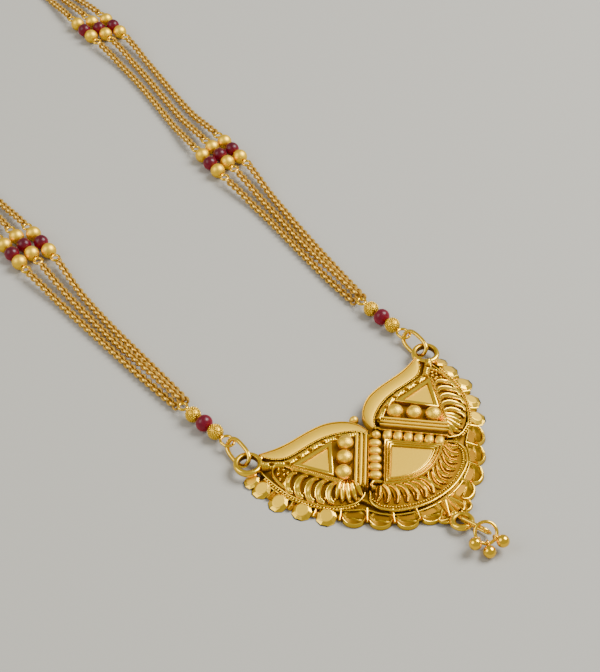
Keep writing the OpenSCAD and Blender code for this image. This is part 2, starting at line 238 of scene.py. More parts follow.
# %% Grids and their faces
def grid_faces(rows, columns, wrap_rows=False, wrap_columns=True):
    """Faces of a grid: row i, column j joins (i, j), (i, j+1), (i+1, j+1), (i+1, j)."""
    i = np.arange(rows if wrap_rows else rows - 1)[:, None]
    j = np.arange(columns if wrap_columns else columns - 1)[None, :]
    i2, j2 = (i + 1) % rows, (j + 1) % columns
    corners = (i * columns + j, i * columns + j2, i2 * columns + j2, i2 * columns + j)
    return np.stack([np.broadcast_to(c, (i.size, j.size)) for c in corners], -1).reshape(-1, 4)


def capped(rows, columns):
    """A grid whose columns close to a ring, with a flat face on its first and last row."""
    ring = np.arange(columns)[None, :]
    return [grid_faces(rows, columns), ring[:, ::-1], (rows - 1) * columns + ring]


def closed_band(rows, columns):
    """A grid whose rows close to a ring, with a flat face on its first and last column."""
    start = np.arange(rows)[None, :] * columns
    band = grid_faces(rows, columns, wrap_rows=True, wrap_columns=False)
    return [band, start, start[:, ::-1] + columns - 1]


def flipped(faces):
    """The same faces turned to the other side."""
    return [f[:, ::-1] for f in faces]


print("a ring of 3 rows and 8 columns has", len(grid_faces(3, 8)), "faces round its side")


# %% Shapes, and the mesh made from them
def shape(points, faces, relief=1.0):
    """A piece in the making: points, a list of face arrays, and the relief of every point."""
    points = np.asarray(points, float).reshape(-1, 3)
    return points, list(faces), np.broadcast_to(np.asarray(relief, float).reshape(-1), len(points))


def joined(shapes):
    """Many shapes as one, their face numbers moved on by the points before them."""
    points, faces, relief, count = [], [], [], 0
    for p, f, r in shapes:
        points.append(p)
        relief.append(r)
        faces += [a + count for a in f]
        count += len(p)
    return np.concatenate(points), faces, np.concatenate(relief)


def mirror_image(made):
    """The shape's mirror image in x = 0, whose faces run the other way round."""
    points, faces, relief = made
    return points * [-1, 1, 1], flipped(faces), relief


def mirrored(*shapes):
    """The shapes and their mirror image as one."""
    made = joined(shapes)
    return joined([made, mirror_image(made)])


SHARP_ANGLE = np.radians(50)


def add_piece(name, made, material, replaces=(), smooth=True):
    """Puts a shape into a mesh, gives it its material and ties it to the necklace."""
    points, faces, relief = made
    mesh = bpy.data.meshes.new(name)
    sizes = np.concatenate([np.full(len(f), f.shape[1]) for f in faces])
    corners = np.concatenate([f.reshape(-1) for f in faces])
    starts = np.concatenate([[0], np.cumsum(sizes)[:-1]])
    mesh.vertices.add(len(points))
    mesh.vertices.foreach_set("co", (points * MM).astype(np.float32).ravel())
    mesh.loops.add(len(corners))
    mesh.loops.foreach_set("vertex_index", corners.astype(np.int32))
    mesh.polygons.add(len(sizes))
    mesh.polygons.foreach_set("loop_start", starts.astype(np.int32))
    mesh.update(calc_edges=True)
    mesh.validate()
    mesh.polygons.foreach_set("use_smooth", np.full(len(mesh.polygons), smooth))
    mesh.attributes.new("relief", "FLOAT", "POINT").data.foreach_set("value", relief.astype(np.float32))
    if smooth:
        mesh.set_sharp_from_angle(angle=SHARP_ANGLE)
    mesh.materials.append(material)
    piece = put_in_scene(name, mesh)
    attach(piece, "root")
    if replaces:
        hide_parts(*replaces)
    print(f"{name}: {len(points)} points, {int((sizes - 2).sum())} triangles")


# %% [markdown]
# ## Smooth curves through a few points
# The leaves, bands and wires are drawn as a few points. A curve that passes through them all and
# keeps its direction at each gives the rest; it is then walked at even steps, so that ridges and beads
# placed along it are evenly spaced.


# %% Curves
def smooth_curve(points, count, dense_steps=25):
    """Evenly spaced points on the cubic that passes through all the given ones.

    Between b and c the curve is (2b + (c-a)t + (2a-5b+4c-d)t^2 + (3b-a-3c+d)t^3) / 2.
    """
    p = np.asarray(points, float)
    p = np.concatenate([p[:1], p, p[-1:]])
    t = np.linspace(0, 1, dense_steps)[None, :, None]
    a, b, c, d = (p[k : len(p) - 3 + k, None] for k in range(4))
    dense = (2 * b + (c - a) * t + (2 * a - 5 * b + 4 * c - d) * t**2 + (3 * b - a - 3 * c + d) * t**3) / 2
    return even_steps(dense.reshape(-1, p.shape[1]), count)


def even_steps(dense, count):
    """The same line walked in equal steps of its own length."""
    walked = np.concatenate([[0], np.cumsum(np.linalg.norm(np.diff(dense, axis=0), axis=1))])
    steps = np.linspace(0, walked[-1], count)
    return np.stack([np.interp(steps, walked, dense[:, k]) for k in range(dense.shape[1])], -1)


def length_of(line):
    """The length of a line of points."""
    return np.linalg.norm(np.diff(line, axis=0), axis=1).sum()


def at_height(line, z):
    """A flat line lifted to a height, which may differ from point to point."""
    line = np.asarray(line, float)
    return np.column_stack([line[:, :2], np.broadcast_to(z, len(line))])


def unit(v):
    """Vectors of length one."""
    return v / np.linalg.norm(v, axis=-1, keepdims=True)


def beside(line, distance):
    """The line moved to its right by a distance: P + distance * (dy, -dx) / |d|."""
    run = unit(np.gradient(line, axis=0))
    return line + distance * np.column_stack([run[:, 1], -run[:, 0]])


def step_up(x):
    """0 below 0, 1 above 1 and the smooth rise 3x^2 - 2x^3 between."""
    x = np.clip(x, 0, 1)
    return x * x * (3 - 2 * x)


def circle(count, shift=0.0):
    """Angles at even steps round a circle, the first one a part of a step on."""
    return 2 * np.pi * (np.arange(count) + shift) / count


def squared(value, power):
    """A sine or cosine made squarer or rounder: its sign times its size to a power."""
    return np.sign(value) * np.abs(value) ** power


trial_curve = smooth_curve([(0, 0), (3, 0), (3, 4)], 50)
print("a curve through the corners of a 3 by 4 triangle is", round(length_of(trial_curve), 2), "long")


# %% A round section along a path, a profile turned round an axis, and copies of a shape
def along(value, path):
    """One number for every point of a path, or the same for all, ready to multiply its section."""
    return np.broadcast_to(value, len(path))[:, None, None]


def each_ring(relief, rings, sides):
    """A relief given ring by ring, or once for all, repeated for every point of a ring."""
    return np.repeat(np.broadcast_to(relief, rings), sides)


def tube(path, radius, sides=8, closed=False, relief=(1.0, 1.0), up=(0.0, 0.0, 1.0)):
    """Round wire: path(i) + radius(i) * (cos(a) * side + sin(a) * top), both square to the path.

    Its relief runs from the first number on its underside to the second on top, so a low first number paints
    shade underneath.
    """
    run = unit(np.roll(path, -1, 0) - np.roll(path, 1, 0) if closed else np.gradient(path, axis=0))
    side = unit(np.cross(run, up))
    top = np.cross(side, run)
    angle = circle(sides, 0.5)
    spoke = np.cos(angle)[:, None] * side[:, None] + np.sin(angle)[:, None] * top[:, None]
    level = relief[0] + (relief[1] - relief[0]) * (0.5 + 0.5 * np.sin(angle))
    faces = [grid_faces(len(path), sides, wrap_rows=True)] if closed else capped(len(path), sides)
    return shape(path[:, None] + along(radius, path) * spoke, flipped(faces), np.tile(level, len(path)))


def rotation(turn, tilt=0.0, lean=0.0):
    """Turn about Z after tilting about Y after leaning about X, in degrees."""
    a, b, c = np.radians([turn, tilt, lean])
    about_z = np.array([[np.cos(a), -np.sin(a), 0], [np.sin(a), np.cos(a), 0], [0, 0, 1]])
    about_y = np.array([[np.cos(b), 0, np.sin(b)], [0, 1, 0], [-np.sin(b), 0, np.cos(b)]])
    about_x = np.array([[1, 0, 0], [0, np.cos(c), -np.sin(c)], [0, np.sin(c), np.cos(c)]])
    return about_z @ about_y @ about_x


def turned(profile, sides, relief=1.0, centre=(0.0, 0.0, 0.0), squash=1.0, turn=0.0):
    """Lathe work: each (radius, height) of the profile becomes a ring, capped by a small disc at both ends.

    Points are (r cos a, squash * r sin a, z), turned about Z.
    """
    r, z = np.asarray(profile, float).T[..., None]
    angle = circle(sides)
    points = np.stack([r * np.cos(angle), r * np.sin(angle) * squash, z + 0 * angle], -1)
    points = points @ rotation(turn).T + centre
    return shape(points, capped(len(r), sides), each_ring(relief, len(r), sides))


def copies(made, places, turns=np.eye(3), sizes=1.0):
    """The same small shape at many places: p = place + size * (turn . point), all in one array sum."""
    points, faces, relief = made
    places = np.asarray(places, float)
    count = len(places)
    turns, sizes = np.broadcast_to(turns, (count, 3, 3)), np.broadcast_to(sizes, count)
    moved = np.einsum("kij,pj->kpi", turns, points) * sizes[:, None, None] + places[:, None]
    offset = (np.arange(count) * len(points))[:, None, None]
    faces = [(f[None] + offset).reshape(-1, f.shape[1]) for f in faces]
    return moved.reshape(-1, 3), faces, np.tile(relief, count)


print("a turned drum of two rings has", len(turned([(1, 0), (1, 1)], 8)[0]), "points")

# %% Mouldings
BLUNTEST = 0.25


def area_inside(outline):
    """Twice the area inside a closed outline, negative when it runs round with the clock."""
    x, y = outline.T
    return np.sum(x * np.roll(y, -1) - np.roll(x, -1) * y)


def inward(outline):
    """For each corner of an outline against the clock, the step that moves both its sides inwards by one.

    It is n / (|n|^2 / 2), where n is the sum of both sides' normals; a sharp corner's step is kept short.
    """
    before = unit(outline - np.roll(outline, 1, 0))
    after = unit(np.roll(outline, -1, 0) - outline)
    both = (before + after)[:, ::-1] * [-1, 1]
    return both / np.maximum(0.5 * np.sum(both * both, -1, keepdims=True), BLUNTEST)


def moulding(outline, section, relief=1.0):
    """A section carried round an outline: each (inset, height) is the outline moved inwards by inset.

    The first and last rings are closed by flat faces, so it may end as a panel inside the frame.
    """
    outline = np.asarray(outline, float)
    if area_inside(outline) < 0:
        outline = outline[::-1]
    step = inward(outline)
    rings = np.stack([at_height(outline + step * inset, height) for inset, height in section])
    return shape(rings, capped(*rings.shape[:2]), each_ring(relief, *rings.shape[:2]))


print("twice the area of a square of 1:", area_inside(np.array([(0, 0), (1, 0), (1, 1), (0, 1)])))

# %% [markdown]
# ## The pendant's outlines
# The pendant is three leaves on one thin plate: two side leaves under polished crescent bands and one
# centre leaf. Only the right half is drawn. The left is its mirror image, apart from a row of small
# grains, a curl of wire and what surrounds the eye. These are the solid model's own lines.

# %% Outlines of the right half
BAND_OUTER = [(17.7, 12.1), (15, 11.4), (12.5, 11.05), (10, 10.95), (7.8, 10.85), (5.5, 10.5), (3.9, 9.9),
              (2.5, 9), (1.4, 7.9), (0.75, 6.6), (0.5, 5.4), (0.45, 4.4)]
BAND_INNER = [(17.3, 11.2), (16.6, 10.1), (15.6, 9.2), (14.4, 8.7), (12.4, 8.55), (9.5, 8.5), (7.5, 8.3),
              (5.6, 7.8), (4.4, 7.3), (3.2, 6.7), (2.1, 5.9), (1.4, 5), (0.95, 4.2)]
PLATE = [(0, 4.4), (1.1, 6.4), (2.4, 8.2), (4.2, 9.2), (7.5, 9.9), (12.5, 10.1), (16.6, 10.9), (18.1, 10.9),
         (19.2, 10.1), (19, 6), (18.3, 2), (16.7, -1.2), (14.7, -3.4), (13, -4.5), (10.9, -5.2), (10.1, -7),
         (9.4, -8.8), (7.6, -10.65), (4.8, -12.1), (2.4, -12.8), (0, -13)]
SKIRT = [(0, 5), (8, 8), (17, 9.6), (20.9, 9), (20.9, 6), (20.2, 2.5), (18.5, -0.9), (16.5, -4.3),
         (13.3, -7.1), (10.6, -10), (7.5, -12.7), (3.9, -14.2), (0, -15)]


def whole(half):
    """A half outline from the top middle to the bottom middle, closed by its mirror image."""
    inner = half[np.abs(half[:, 0]) > 0.001]
    return np.concatenate([half, (inner * [-1, 1])[::-1]])


plate_line = whole(smooth_curve(PLATE, 90))
skirt_line = whole(smooth_curve(SKIRT, 60))
print("skirt width", round(float(np.ptp(skirt_line[:, 0])), 1), "mm")

# %% [markdown]
# ## A section of any form along a path
# The ribs of the leaves aren't round wire: one side is a rounded edge painted bright, the other falls into a
# pocket painted dark. So a section is a short table of three numbers, how far across, how high and how
# bright its painted shading is, and it is carried along a path while its width and height swell and shrink.


# %% Sweep a section
def symmetric(half):
    """A section from its right half: the half, then its mirror image."""
    return half + [(-over, high, level) for over, high, level in half[::-1] if over]


def swept(path, section, width, height):
    """P(i, j) = path(i) + across(j) * width(i) * side(i) + high(j) * height(i) * Z, closed by flat ends."""
    run = unit(np.gradient(path, axis=0) * [1, 1, 0])
    side = np.column_stack([run[:, 1], -run[:, 0], np.zeros(len(run))])
    over, high, level = np.asarray(section, float).T
    points = path[:, None] + over[:, None] * along(width, path) * side[:, None]
    points[..., 2] += high * along(height, path)[..., 0]
    return shape(points, flipped(capped(len(path), len(over))), np.tile(level, len(path)))


def swell(count, least, power, full=0.5):
    """Thin at both ends: least + (1 - least) sin(pi t^n)^power, with n such that it is widest at t = full."""
    t = np.linspace(0, 1, count) ** (np.log(0.5) / np.log(full))
    return least + (1 - least) * np.clip(np.sin(np.pi * t), 0, 1) ** power


print("a rib's width, from end to end:", swell(7, 0.3, 0.5).round(2))

# %% [markdown]
# ## Plate and skirt
# The lowest layer is a thin skirt that carries the petals, and on it the plate whose rim the leaves stand
# on. Both are mouldings: an upright wall, a rounded edge and a flat top. The top lies in the recesses
# between the leaves, so it gets a low relief: painted shade.

# %% Make the plate and the skirt
PLATE_SECTION = [(0, 0.05), (0, 1.0), (0.1, 1.2), (0.3, 1.2), (0.55, 1.15)]
SKIRT_SECTION = [(0.1, 0.0), (0, 0.1), (0, 0.28), (0.15, 0.4)]
plate = moulding(plate_line, PLATE_SECTION, [0.0, 0.25, 0.5, 0.3, 0.0])
skirt = moulding(skirt_line, SKIRT_SECTION, [0.05, 0.15, 0.15, 0.0])
add_piece("pendant_plate", joined([plate, skirt]), GOLD_BRIGHT, replaces=["pendant"])

# %% [markdown]
# ## Crescent bands
# The two bands are the calm part of the pendant: brushed metal with a thin raised rim along the outer
# edge and a dark line just inside it, a shallow groove painted in shade. The surface runs between two
# curves. Its second parameter crosses the band, and a short table says how high the metal is at each step
# of the way across and how light its painted shading is there.

# %% Make the bands
BAND_SECTION = [(0.0, 0.9, 0.2), (0.0, 2.2, 0.8), (0.015, 2.38, 1.0), (0.05, 2.44, 1.0), (0.085, 2.38, 0.8),
                (0.1, 2.2, 0.0), (0.125, 2.17, 0.0), (0.145, 2.28, 0.8), (0.2, 2.31, 1.0), (0.5, 2.33, 1.0),
                (0.88, 2.31, 1.0), (0.96, 2.27, 1.0), (0.985, 2.15, 0.6), (1.0, 1.9, 0.1), (1.0, 0.9, 0.0)]


def mixed(first, second, v):
    """(1 - v) first + v second for each v: a row of lines that turn from the first into the second."""
    return (1 - v)[:, None, None] * first + v[:, None, None] * second


def lifted(flat, z):
    """A flat grid of points with a height for each row, or for each point."""
    return np.concatenate([flat, np.broadcast_to(z, flat.shape[:2])[..., None]], -1)


def between_curves(first, second, section, count):
    """P(u, v) = (1 - v) first(u) + v second(u), at height z(v); section holds v, z and relief."""
    v, z, level = np.asarray(section, float).T
    flat = mixed(smooth_curve(first, count), smooth_curve(second, count), v)
    return shape(lifted(flat, z[:, None]), closed_band(len(v), count), np.repeat(level, count))


add_piece("crescent_bands", mirrored(between_curves(BAND_OUTER, BAND_INNER, BAND_SECTION, 90)), GOLD_SATIN)

# %% [markdown]
# ## Slopes of the leaves
# From the rim of each leaf the metal rises to the bars and frames in its middle. Each slope is a surface
# A(u, v), u along the rim and v up the slope, and it is painted in shade with relief 0, because only the
# ribs on it catch light. A helper gives the height of the slope at any place, so that ribs can be drawn
# flat and still lie on it.

# %% Slopes
SIDE_RIM = [(19.0, 9.9), (19.15, 8), (19.05, 5.5), (18.3, 1.9), (16.9, -0.9), (15.4, -2.9), (13.9, -4.1),
            (12.2, -4.9), (10.6, -5.1)]
SIDE_BAR = [(17.2, 8.6), (16.6, 7.4), (16.0, 6.2), (14.7, 3.8), (13.3, 1.3), (12.2, -0.6), (11.3, -2.0),
            (10.4, -3.2), (9.8, -4.2)]
CENTRE_RIM = [(9.3, -5.3), (9.85, -6.7), (9.6, -8.4), (8.6, -9.75), (7.4, -10.85), (4.7, -12.1),
              (2.4, -12.75), (0, -12.95)]
CENTRE_BAR = [(6.9, -5.9), (6.6, -6.3), (5.6, -7.1), (4.4, -7.8), (3.3, -8.3), (2.2, -8.7), (1.1, -8.85),
              (0, -8.95)]
SIDE_LEAF = (SIDE_RIM, SIDE_BAR, [(0.0, 1.2), (0.3, 1.35), (0.6, 1.8), (1.0, 2.3)])
CENTRE_LEAF = (CENTRE_RIM, CENTRE_BAR, [(0.0, 1.1), (0.3, 1.2), (0.6, 1.45), (1.0, 2.2)])
SLOPE_FOOT = 0.8


def with_underside(top, z):
    """A grid of points followed by its own shadow on a level below, so that both close to one solid."""
    return np.concatenate([top, (top * [1, 1, 0] + [0, 0, z])[::-1]])


def apron(rim, bar, slope, columns=90, rows=10):
    """A(u, v) = (1 - v) rim(u) + v bar(u) at the slope's height; a second sheet below closes it."""
    v = np.linspace(0, 1, rows)
    flat = mixed(smooth_curve(rim, columns), smooth_curve(bar, columns), v)
    top = lifted(flat, np.interp(v, *np.transpose(slope))[:, None])
    # Relief 0 everywhere: the slope is painted in shade.
    return shape(with_underside(top, SLOPE_FOOT), flipped(closed_band(2 * rows, columns)), 0.0)


def slope_height(places, rim, bar, slope, fine=200):
    """Height of a slope at flat places: v = distance to the rim / (distance to the rim + to the bar)."""
    lines = smooth_curve(rim, fine), smooth_curve(bar, fine)
    low, high = (np.linalg.norm(places[:, None, :2] - line[None], axis=-1).min(1) for line in lines)
    return np.interp(low / (low + high), *np.transpose(slope))


add_piece("leaf_slopes", mirrored(apron(*SIDE_LEAF), apron(*CENTRE_LEAF)), GOLD_BRIGHT)

# %% [markdown]
# ## Crescent ribs of the side leaves
# Thick bent ribs overlap along the border like a row of new moons. All have one form, smaller towards the
# lug, so the form is drawn once from its foot on the border and a table holds each foot and size. The
# section is round on the outside of the bend, where its shading is painted bright, satin over the top, and
# ends in a sharp lip above a pocket painted in shade, in which a small grain shines. Near the bars five
# plump flutes fan out instead, and towards the lug the row ends in a long loop of wire filled with grains.

# %% Make the crescent ribs
MOON = np.array([(0.0, 0.0), (0.25, 0.95), (-0.35, 2.0), (-1.35, 2.7), (-2.4, 2.85), (-3.15, 2.4)])
MOON_FEET = np.array([(18.3, 2.65), (17.65, 0.85), (16.8, -0.85), (15.8, -2.2), (14.65, -3.3)])
MOON_SIZES = np.array([0.88, 0.97, 1.0, 0.98, 0.88])
TIP_LOOP = [(15.75, 5.5), (15.85, 6.85), (16.5, 7.75), (17.4, 8.25), (18.15, 7.95), (18.55, 7.15),
            (18.7, 5.9), (18.65, 4.6), (18.35, 3.6)]
TIP_INNER = [(16.35, 5.2), (17.15, 5.3), (17.75, 4.75), (18.05, 3.9)]
FLUTES = [[(10.6, -1.25), (12.1, -1.6), (13.9, -2.95)], [(10.45, -1.4), (12.0, -2.35), (13.45, -4.0)],
          [(10.3, -1.5), (11.5, -3.0), (12.65, -4.8)], [(10.1, -1.6), (10.75, -3.3), (11.55, -5.15)],
          [(9.85, -1.7), (9.95, -3.3), (10.25, -5.1)]]
RIB_SECTION = [(1.0, -0.8, 0.0), (1.02, 0.0, 0.3), (0.92, 0.45, 0.9), (0.72, 0.74, 1.0), (0.5, 0.66, 0.7),
               (0.25, 0.72, 0.8), (-0.1, 0.86, 0.9), (-0.48, 1.0, 1.0), (-0.7, 0.98, 1.0), (-0.86, 0.7, 0.6),
               (-0.93, 0.2, 0.05), (-0.95, -0.8, 0.0)]
FLUTE_SECTION = symmetric([(1.0, -0.8, 0.0), (0.95, 0.1, 0.2), (0.6, 0.75, 0.85), (0.2, 1.0, 1.0)])


def rib_on(leaf, points, section, width, height, steps=30, least=0.3, power=0.5, full=0.5):
    """A rib through flat points, lifted on to a leaf's slope and thinner at its ends."""
    flat = smooth_curve(points, steps)
    path = at_height(flat, slope_height(flat, *leaf))
    wide, high = width * swell(steps, least, power, full), height * swell(steps, 0.5, 0.5, full)
    return swept(path, section, wide, high)


moons = [rib_on(SIDE_LEAF, foot + size * MOON, RIB_SECTION, 0.68 * size, 0.75, least=0.25, power=0.7)
         for foot, size in zip(MOON_FEET, MOON_SIZES)]
flutes = [rib_on(SIDE_LEAF, p, FLUTE_SECTION, 0.64, 1.0, least=0.2, power=0.8, full=0.62) for p in FLUTES]
tip_ribs = [rib_on(SIDE_LEAF, TIP_LOOP, FLUTE_SECTION, 0.3, 0.75, steps=40, least=0.6, power=0.4),
            rib_on(SIDE_LEAF, TIP_INNER, FLUTE_SECTION, 0.26, 0.6, least=0.5)]
add_piece("side_leaf_ribs", mirrored(*moons, *flutes, *tip_ribs), GOLD_BRIGHT)

# %% Make the grains in the pockets
TIP_GRAINS = np.array([(17.25, 7.5), (16.75, 6.8), (17.75, 7.0), (17.2, 6.2), (18.05, 6.1), (16.6, 5.95),
                       (18.2, 5.1)])
POCKET_GRAIN = [(0.2, -0.5), (0.3, -0.1), (0.3, 0.15), (0.2, 0.4), (0.02, 0.48)]
IN_POCKET, TIP_GRAIN_SIZE = [-0.75, 0.55], 1.05
pocket_places = np.concatenate([MOON_FEET + MOON_SIZES[:, None] * IN_POCKET, TIP_GRAINS])
pocket_places = at_height(pocket_places, slope_height(pocket_places, *SIDE_LEAF))
pocket_sizes = np.concatenate([MOON_SIZES, np.full(len(TIP_GRAINS), TIP_GRAIN_SIZE)])
# Each pocket grain is painted in shade at its foot, lighter towards its top.
pocket_grain = turned(POCKET_GRAIN, 14, [0.0, 0.2, 0.6, 0.9, 1.0], squash=0.7, turn=115)
add_piece("pocket_grains", mirrored(copies(pocket_grain, pocket_places, sizes=pocket_sizes)), GOLD_BRIGHT)

# %% [markdown]
# ## Fan of ribs on the centre leaf
# Below the centre window the ribs are slimmer. Each is two wires with a valley between them, painted dark
# as shade: they leave the window as one, bow towards the middle and meet again at the rim. One section with
# two ridges makes both. At the window's corners a wire curls round: a small hook on the right, a bolder
# curl on the left.

# %% Make the fan
FAN = [[(1.3, -8.75), (0.6, -9.6), (0.45, -10.8), (1.0, -12.0)],
       [(2.6, -8.55), (1.85, -9.45), (1.8, -10.7), (2.55, -11.8)],
       [(3.9, -7.95), (3.15, -9.0), (3.15, -10.2), (4.0, -11.3)],
       [(5.1, -7.25), (4.45, -8.4), (4.6, -9.6), (5.45, -10.55)],
       [(6.15, -6.45), (5.65, -7.65), (5.95, -8.8), (6.9, -9.65)],
       [(6.75, -5.9), (6.75, -7.0), (7.2, -7.9), (8.15, -8.55)],
       [(7.0, -5.65), (7.7, -6.3), (8.2, -6.85), (9.1, -7.25)]]
HOOK = [(6.6, -5.7), (7.1, -5.25), (7.8, -5.05), (8.25, -5.35), (7.9, -5.7), (7.5, -5.6)]
CURL = [(-6.14, -5.44), (-6.57, -4.82), (-7.17, -4.42), (-7.82, -4.66), (-8.02, -5.27), (-7.67, -5.51)]
CURL_Z, CURL_STEPS = 1.95, 40
FAN_SECTION = [(1.0, -1.0, 0.0), (1.0, 0.25, 0.5), (0.88, 0.8, 1.0), (0.6, 1.0, 1.0), (0.3, 0.9, 0.95),
               (0.08, 0.5, 0.5), (-0.1, 0.1, 0.0), (-0.38, 0.05, 0.0), (-0.55, 0.5, 0.7), (-0.7, 0.68, 1.0),
               (-0.85, 0.5, 0.8), (-0.97, 0.1, 0.2), (-1.0, -1.0, 0.0)]
WIRE_SECTION = symmetric([(1.0, -1.2, 0.0), (1.0, 0.0, 0.35), (0.8, 0.55, 0.8), (0.4, 0.9, 1.0),
                          (0.0, 1.0, 1.0)])
fan = [rib_on(CENTRE_LEAF, p, FAN_SECTION, 0.66, 0.72, least=0.35) for p in FAN]
hook = rib_on(CENTRE_LEAF, HOOK, WIRE_SECTION, 0.24, 0.7, least=0.7)
curl_path = at_height(smooth_curve(CURL, CURL_STEPS), CURL_Z)
curl = swept(curl_path, WIRE_SECTION, 0.35 * swell(CURL_STEPS, 0.65, 0.4), 0.62)
add_piece("centre_leaf_fan", joined([mirrored(*fan), hook, curl]), GOLD_BRIGHT)

# %% [markdown]
# ## Centre window
# The centre leaf has a window with one curved side: a satin panel sunk in a frame of three parallel
# wires. The frame steps over three round ridges on its way from an outer to an inner outline and then
# down to the panel. Mixing two outlines, where a moulding would move one inwards, keeps the corners
# clean.

# %% Make the window frame
FRAME_SECTION = [(0.0, 1.0), (0.0, 2.8), (0.04, 2.98), (0.12, 3.06), (0.22, 3.0), (0.29, 2.8), (0.31, 2.66),
                 (0.35, 2.82), (0.42, 3.02), (0.52, 3.1), (0.62, 3.04), (0.68, 2.84), (0.7, 2.7),
                 (0.74, 2.84), (0.8, 3.0), (0.88, 3.04), (0.97, 2.98), (1.04, 2.75), (1.08, 2.5)]
# Painted shade in the grooves between the three wires and at the foot of the frame, bright on their crowns.
FRAME_RELIEF = [0.0, 0.6, 0.9, 1.0, 0.9, 0.4, 0.0, 0.4, 0.9, 1.0, 0.9, 0.4, 0.0, 0.4, 0.9, 1.0, 0.9, 0.3, 0.0]


def window_outline(top, side, low, steps=30):
    """Corner at the top, then the arc y = side + (low - side)(1 - x^2), from the right corner to the left."""
    x = np.linspace(1, -1, steps + 1)
    arc = np.column_stack([side[0] * x, side[1] + (low - side[1]) * (1 - x**2)])
    straight = np.linspace(arc[-1], (0.0, top), 6)[1:-1]
    return np.concatenate([arc, straight, [(0.0, top)], straight[::-1] * [-1, 1]])


window_outer = window_outline(0.9, (6.6, -6.2), -8.9)
window_inner = window_outline(-0.95, (4.72, -5.8), -7.45)
inset, frame_z = np.transpose(FRAME_SECTION)
frame_rings = lifted(mixed(window_outer, window_inner, inset / inset[-1]), frame_z[:, None])
window_frame = shape(frame_rings, flipped(capped(*frame_rings.shape[:2])),
                     each_ring(FRAME_RELIEF, *frame_rings.shape[:2]))
add_piece("centre_window_frame", window_frame, GOLD_BRIGHT)

# %% [markdown]
# ## Triangles, bars and panels
# Each side leaf carries a triangular frame with its own sunk panel, a long double bar beside it, and
# three parallel bars towards the middle. Panels and the three bars are separate brushed pieces, because
# satin and bright metal meet there in a sharp line.

# %% Bars towards the middle
BAR_ENDS = np.array([(2.1, 4.2), (9.9, -4.2)])
BAR_SIDE = unit(BAR_ENDS[1] - BAR_ENDS[0])[::-1] * [-1, 1]
BAR_SECTION = symmetric([(1.0, -1.0, 0.0), (1.0, 0.35, 0.1), (0.86, 0.8, 0.7), (0.55, 0.97, 1.0),
                         (0.0, 1.0, 1.0)])
BARS = [(-0.74, 0.24), (0.0, 0.3), (0.76, 0.27)]


def beside_bar(k):
    """Both ends of the middle bar's line, moved sideways by k."""
    return BAR_ENDS + BAR_SIDE * k


def straight_bar(ends, width, height, z, section=WIRE_SECTION, steps=14):
    """A bar with a rounded top and short tapered ends."""
    taper = np.clip(np.sin(np.pi * np.linspace(0, 1, steps)) * 5 + 0.4, 0, 1)
    return swept(at_height(np.linspace(*ends, steps), z), section, width * taper, height)


add_piece("leaf_bars", mirrored(*[straight_bar(beside_bar(k), w, 0.6, 2.8, BAR_SECTION) for k, w in BARS]),
          GOLD_SATIN)

# %% Side frames and panels
TRIANGLE = [(7.1, 6.0), (15.4, 6.2), (11.8, 0.1)]
TRIANGLE_SECTION = [(0.0, 1.4), (0.0, 3.2), (0.06, 3.33), (0.18, 3.38), (0.36, 3.34), (0.46, 3.28),
                    (0.56, 3.3), (0.64, 3.22), (0.7, 3.0), (0.74, 2.8)]
FIELD = [(2.1, 4.9), (3.2, 5.95), (4.5, 6.75), (6, 7.35), (9.5, 7.9), (13, 8.1), (15.4, 8.3), (16.4, 7.6),
         (15.6, 5.6), (13.7, 1.9), (12.1, -1.0), (10.5, -3.3), (9.3, -4.1), (5.6, -0.1)]
DOUBLE_BAR = [((15.95, 6.3), (11.55, -1.75)), ((15.45, 6.25), (11.2, -1.5))]
# Painted shade at the foot and in the groove of the triangle frame, and over the whole field and bar base.
triangle_frame = moulding(TRIANGLE, TRIANGLE_SECTION, [0.0, 0.6, 1.0, 1.0, 0.9, 0.75, 1.0, 0.8, 0.2, 0.0])
field = moulding(FIELD, [(0, 0.8), (0, 2.35), (0.12, 2.45), (0.3, 2.45)], [0.0, 0.1, 0.1, 0.0])
(base_a, base_b), (base_d, base_c) = beside_bar(1.05), beside_bar(-1.05)
bar_base = moulding([base_a, base_d, base_c, base_b], [(0, 1.0), (0, 2.6), (0.08, 2.7)], 0.0)
thin_bars = [straight_bar(beside_bar(-1.2), 0.13, 0.4, 2.2)]
thin_bars += [straight_bar(ends, 0.2, 0.5, 2.6) for ends in DOUBLE_BAR]
add_piece("side_frames_and_bars", mirrored(triangle_frame, field, bar_base, *thin_bars), GOLD_BRIGHT)
side_panel = moulding(TRIANGLE, [(0.72, 2.73), (0.72, 2.96), (0.75, 2.98), (0.84, 2.98)])
centre_panel = moulding(window_inner, [(0.0, 2.4), (0.0, 2.64), (0.03, 2.66), (0.15, 2.66)])
add_piece("satin_panels", joined([mirrored(side_panel), centre_panel]), GOLD_SATIN)

# %% [markdown]
# ## Grains
# Between bars and triangle sit three large round grains, and beside the centre leaf run two rows of small
# flat ones: six on the right, and five wider ones on the left, where the curl ends the row. A grain is
# lathe work: a low dome with a softened edge. The small ones are squashed along their row and pushed out
# to a pillow.

# %% Make the grains
dome_angle = np.radians(np.linspace(-35, 88, 14))
DOME = np.column_stack([np.cos(dome_angle), np.sin(dome_angle)])
# Painted shade at the foot of the small grains, lighter towards their tops; the frosted large grains don't
# show it.
DOME_RELIEF = np.clip(np.linspace(-0.4, 2.2, 14), 0, 1)
PILLOW = np.column_stack([np.cos(dome_angle) ** 0.7, np.sin(dome_angle)])
GRAINS, GRAIN_Z = [(5.6, 4.25), (7.8, 2.0), (10.05, -0.3)], 3.1
ROW_START, ROW_END, ROW_Z = np.array([1.45, 1.65]), np.array([7.2, -4.9]), 2.0
ROW_TURN = np.degrees(np.arctan2(*(ROW_END - ROW_START)[::-1])) + 90


